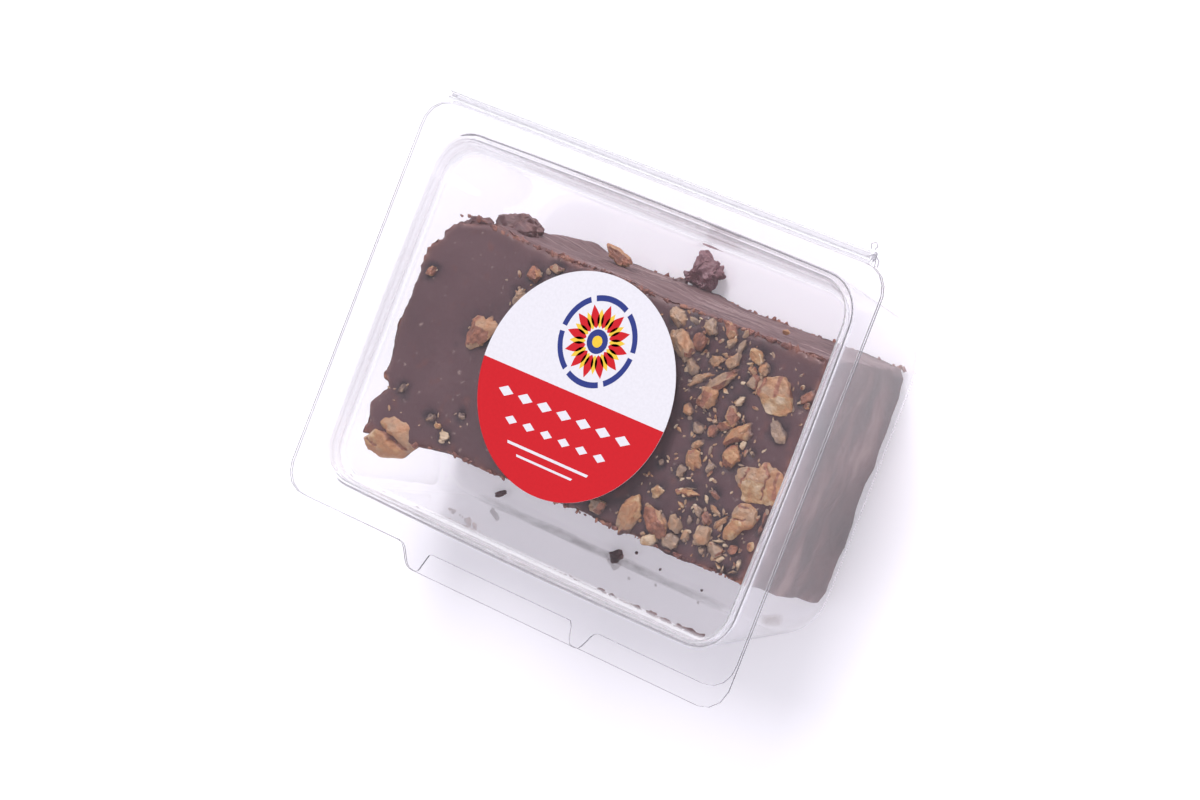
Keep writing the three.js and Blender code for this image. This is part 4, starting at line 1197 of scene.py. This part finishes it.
def paper_material(name, colour, sheen_rough):
    """Printed satin paper: a trace of fibre in its colour and its shine."""
    material = bpy.data.materials.new(name)
    material.use_nodes = True
    nodes, links = material.node_tree.nodes, material.node_tree.links
    shader = nodes["Principled BSDF"]
    place = nodes.new("ShaderNodeTexCoord")
    fibre = add_noise(nodes, links, place, 1400, 5)
    dark = tuple(c * 0.95 for c in colour)
    links.new(add_ramp(nodes, links, fibre, [(0.35, dark), (0.65, colour)]), shader.inputs["Base Color"])
    shader.inputs["Roughness"].default_value = sheen_rough
    shader.inputs["Specular IOR Level"].default_value = 0.25
    links.new(add_bump(nodes, links, fibre, 0.12, 0.0001), shader.inputs["Normal"])
    return material


def ink_object(name, shapes, material, layer):
    """Printed shapes of one colour, each layer a hair above the one below."""
    vertices, faces = [], []
    height = label_z + label_thickness + layer * ink_lift
    for points in shapes:
        shape_vertices, shape_faces = flat_shape(points, height, ink_lift / 2)
        faces += [tuple(corner + len(vertices) for corner in face) for face in shape_faces]
        vertices += shape_vertices
    new_object(name, vertices, faces, material, "lid", "label_print", 30)


paper_white = paper_material("label_white", (0.78, 0.760, 0.810), 0.4)
ink_red = paper_material("label_red", (0.6, 0.01, 0.018), 0.5)
ink_blue = paper_material("label_blue", (0.03, 0.045, 0.22), 0.38)
ink_yellow = paper_material("label_yellow", (0.85, 0.56, 0.05), 0.38)

disc = flat_shape(circle(label_radius), label_z, label_thickness)
label = new_object("label_paper", *disc, paper_white, "lid", "label_print", 30)
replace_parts(label, "label")

split_y = -0.0015
split_deg = math.degrees(math.asin(split_y / label_radius))
red_field = circle(label_radius, start=180 - split_deg, end=360 + split_deg, count=120)
rosette = (0.0012, 0.0108)
petal_count = 12


def petal(angle_deg, inner, outer, half_width):
    """A pointed leaf shape that stands out from the rosette's middle."""
    angle = math.radians(angle_deg)
    outward, across = (math.cos(angle), math.sin(angle)), (-math.sin(angle), math.cos(angle))
    shares = np.linspace(0, 1, 14)
    edge = [(inner + (outer - inner) * s, half_width * math.sin(math.pi * s ** 0.8)) for s in shares]
    outline = edge + [(along, -side) for along, side in edge[-2:0:-1]]
    return [(rosette[0] + a * outward[0] + s * across[0], rosette[1] + a * outward[1] + s * across[1])
            for a, s in outline]


def lozenge(x, y, half_length, half_height):
    return [(x - half_length, y), (x, y - half_height), (x + half_length, y), (x, y + half_height)]


label_inks = [
    ("label_red_field", [red_field], ink_red, 1),
    ("label_blue_ring", [ring_sector(0.0089, 0.0102, rosette, k * 60 + 4, k * 60 + 56) for k in range(6)],
     ink_blue, 1),
    ("label_red_petals", [petal(k * 360 / petal_count, 0.003, 0.0083, 0.0011) for k in range(petal_count)],
     ink_red, 1),
    ("label_yellow_petals", [petal((k + 0.5) * 360 / petal_count, 0.003, 0.0072, 0.0008)
                             for k in range(petal_count)], ink_yellow, 1),
    ("label_blue_heart", [circle(0.0027, rosette, count=48)], ink_blue, 2),
    ("label_yellow_heart", [circle(0.0013, rosette, count=36)], ink_yellow, 3),
    ("label_white_lozenges", [lozenge(x, -0.0068, 0.0021, 0.0012) for x in np.linspace(-0.0165, 0.0165, 7)]
     + [lozenge(x, -0.0122, 0.0017, 0.001) for x in np.linspace(-0.0125, 0.0125, 6)], paper_white, 2),
    ("label_white_rules", [[(-0.0115, -0.0165), (0.0115, -0.0165), (0.0112, -0.0171), (-0.0112, -0.0171)],
                           [(-0.008, -0.0186), (0.008, -0.0186), (0.0077, -0.0191), (-0.0077, -0.0191)]],
     paper_white, 2),
]
for ink_name, shapes, ink, layer in label_inks:
    ink_object(ink_name, shapes, ink, layer)

# Floor, light and camera
# A white sweep under soft, even light from above and behind, bright enough to lose the floor's own grain.

floor_reach, floor_z = 3, -0.0001
floor_corners = [(floor_reach * x, floor_reach * y, floor_z) for x, y in ((-1, -1), (1, -1), (1, 1), (-1, 1))]
floor_mesh = bpy.data.meshes.new("floor")
floor_mesh.from_pydata(floor_corners, [], [(0, 1, 2, 3)])
floor_object = bpy.data.objects.new("floor", floor_mesh)
bpy.context.scene.collection.objects.link(floor_object)
floor_white = bpy.data.materials.new("floor_white")
floor_white.use_nodes = True
floor_shader = floor_white.node_tree.nodes["Principled BSDF"]
floor_shader.inputs["Base Color"].default_value = (0.93, 0.905, 0.96, 1)
floor_shader.inputs["Roughness"].default_value = 0.9
floor_shader.inputs["Emission Color"].default_value = (1, 0.99, 1, 1)
floor_shader.inputs["Emission Strength"].default_value = 0.2
floor_mesh.materials.append(floor_white)

world = bpy.data.worlds.new("studio")
bpy.context.scene.world = world
world.use_nodes = True
world_nodes, world_links = world.node_tree.nodes, world.node_tree.links
direction = world_nodes.new("ShaderNodeTexCoord")
split = world_nodes.new("ShaderNodeSeparateXYZ")
world_links.new(direction.outputs["Generated"], split.inputs["Vector"])
sky = add_ramp(world_nodes, world_links, split.outputs["Z"],
               [(0.0, (1.25, 1.24, 1.3)), (0.3, (1.0, 0.99, 1.05)), (0.75, (0.46, 0.455, 0.5))])
world_links.new(sky, world_nodes["Background"].inputs["Color"])
world_nodes["Background"].inputs["Strength"].default_value = 1.0


def soft_light(name, place, size, power, colour=(1, 1, 1)):
    lamp = bpy.data.lights.new(name, "AREA")
    lamp.size = size
    lamp.energy = power
    lamp.color = colour
    light = bpy.data.objects.new(name, lamp)
    bpy.context.scene.collection.objects.link(light)
    light.location = place
    light.rotation_euler = (Vector((0, 0, 0.02)) - Vector(place)).to_track_quat("-Z", "Y").to_euler()


soft_light("key", (-0.25, 0.95, 1.0), 0.6, 13, (1, 0.995, 0.985))
soft_light("fill", (0.9, -0.3, 0.9), 0.8, 3, (0.97, 0.97, 1))

camera_data = bpy.data.cameras.new("camera")
camera_data.lens = 118.4
camera_data.sensor_width = 36
camera = bpy.data.objects.new("camera", camera_data)
bpy.context.scene.collection.objects.link(camera)
camera_right = Vector((0.7669, 0.3605, -0.531))
camera_up = Vector((-0.3298, 0.9311, 0.1559))
camera_from_label = Vector((0.4746, 0.0466, 0.7071))
camera_back = camera_right.cross(camera_up)
pose = Matrix((camera_right, camera_up, camera_back)).transposed().to_4x4()
pose.translation = Vector((*label_centre, panel_top)) + camera_from_label
camera.matrix_world = pose
bpy.context.scene.camera = camera
bpy.context.scene.view_settings.view_transform = "Standard"
bpy.context.scene.cycles.max_bounces = 28
bpy.context.scene.cycles.transmission_bounces = 24
bpy.context.scene.cycles.transparent_max_bounces = 24
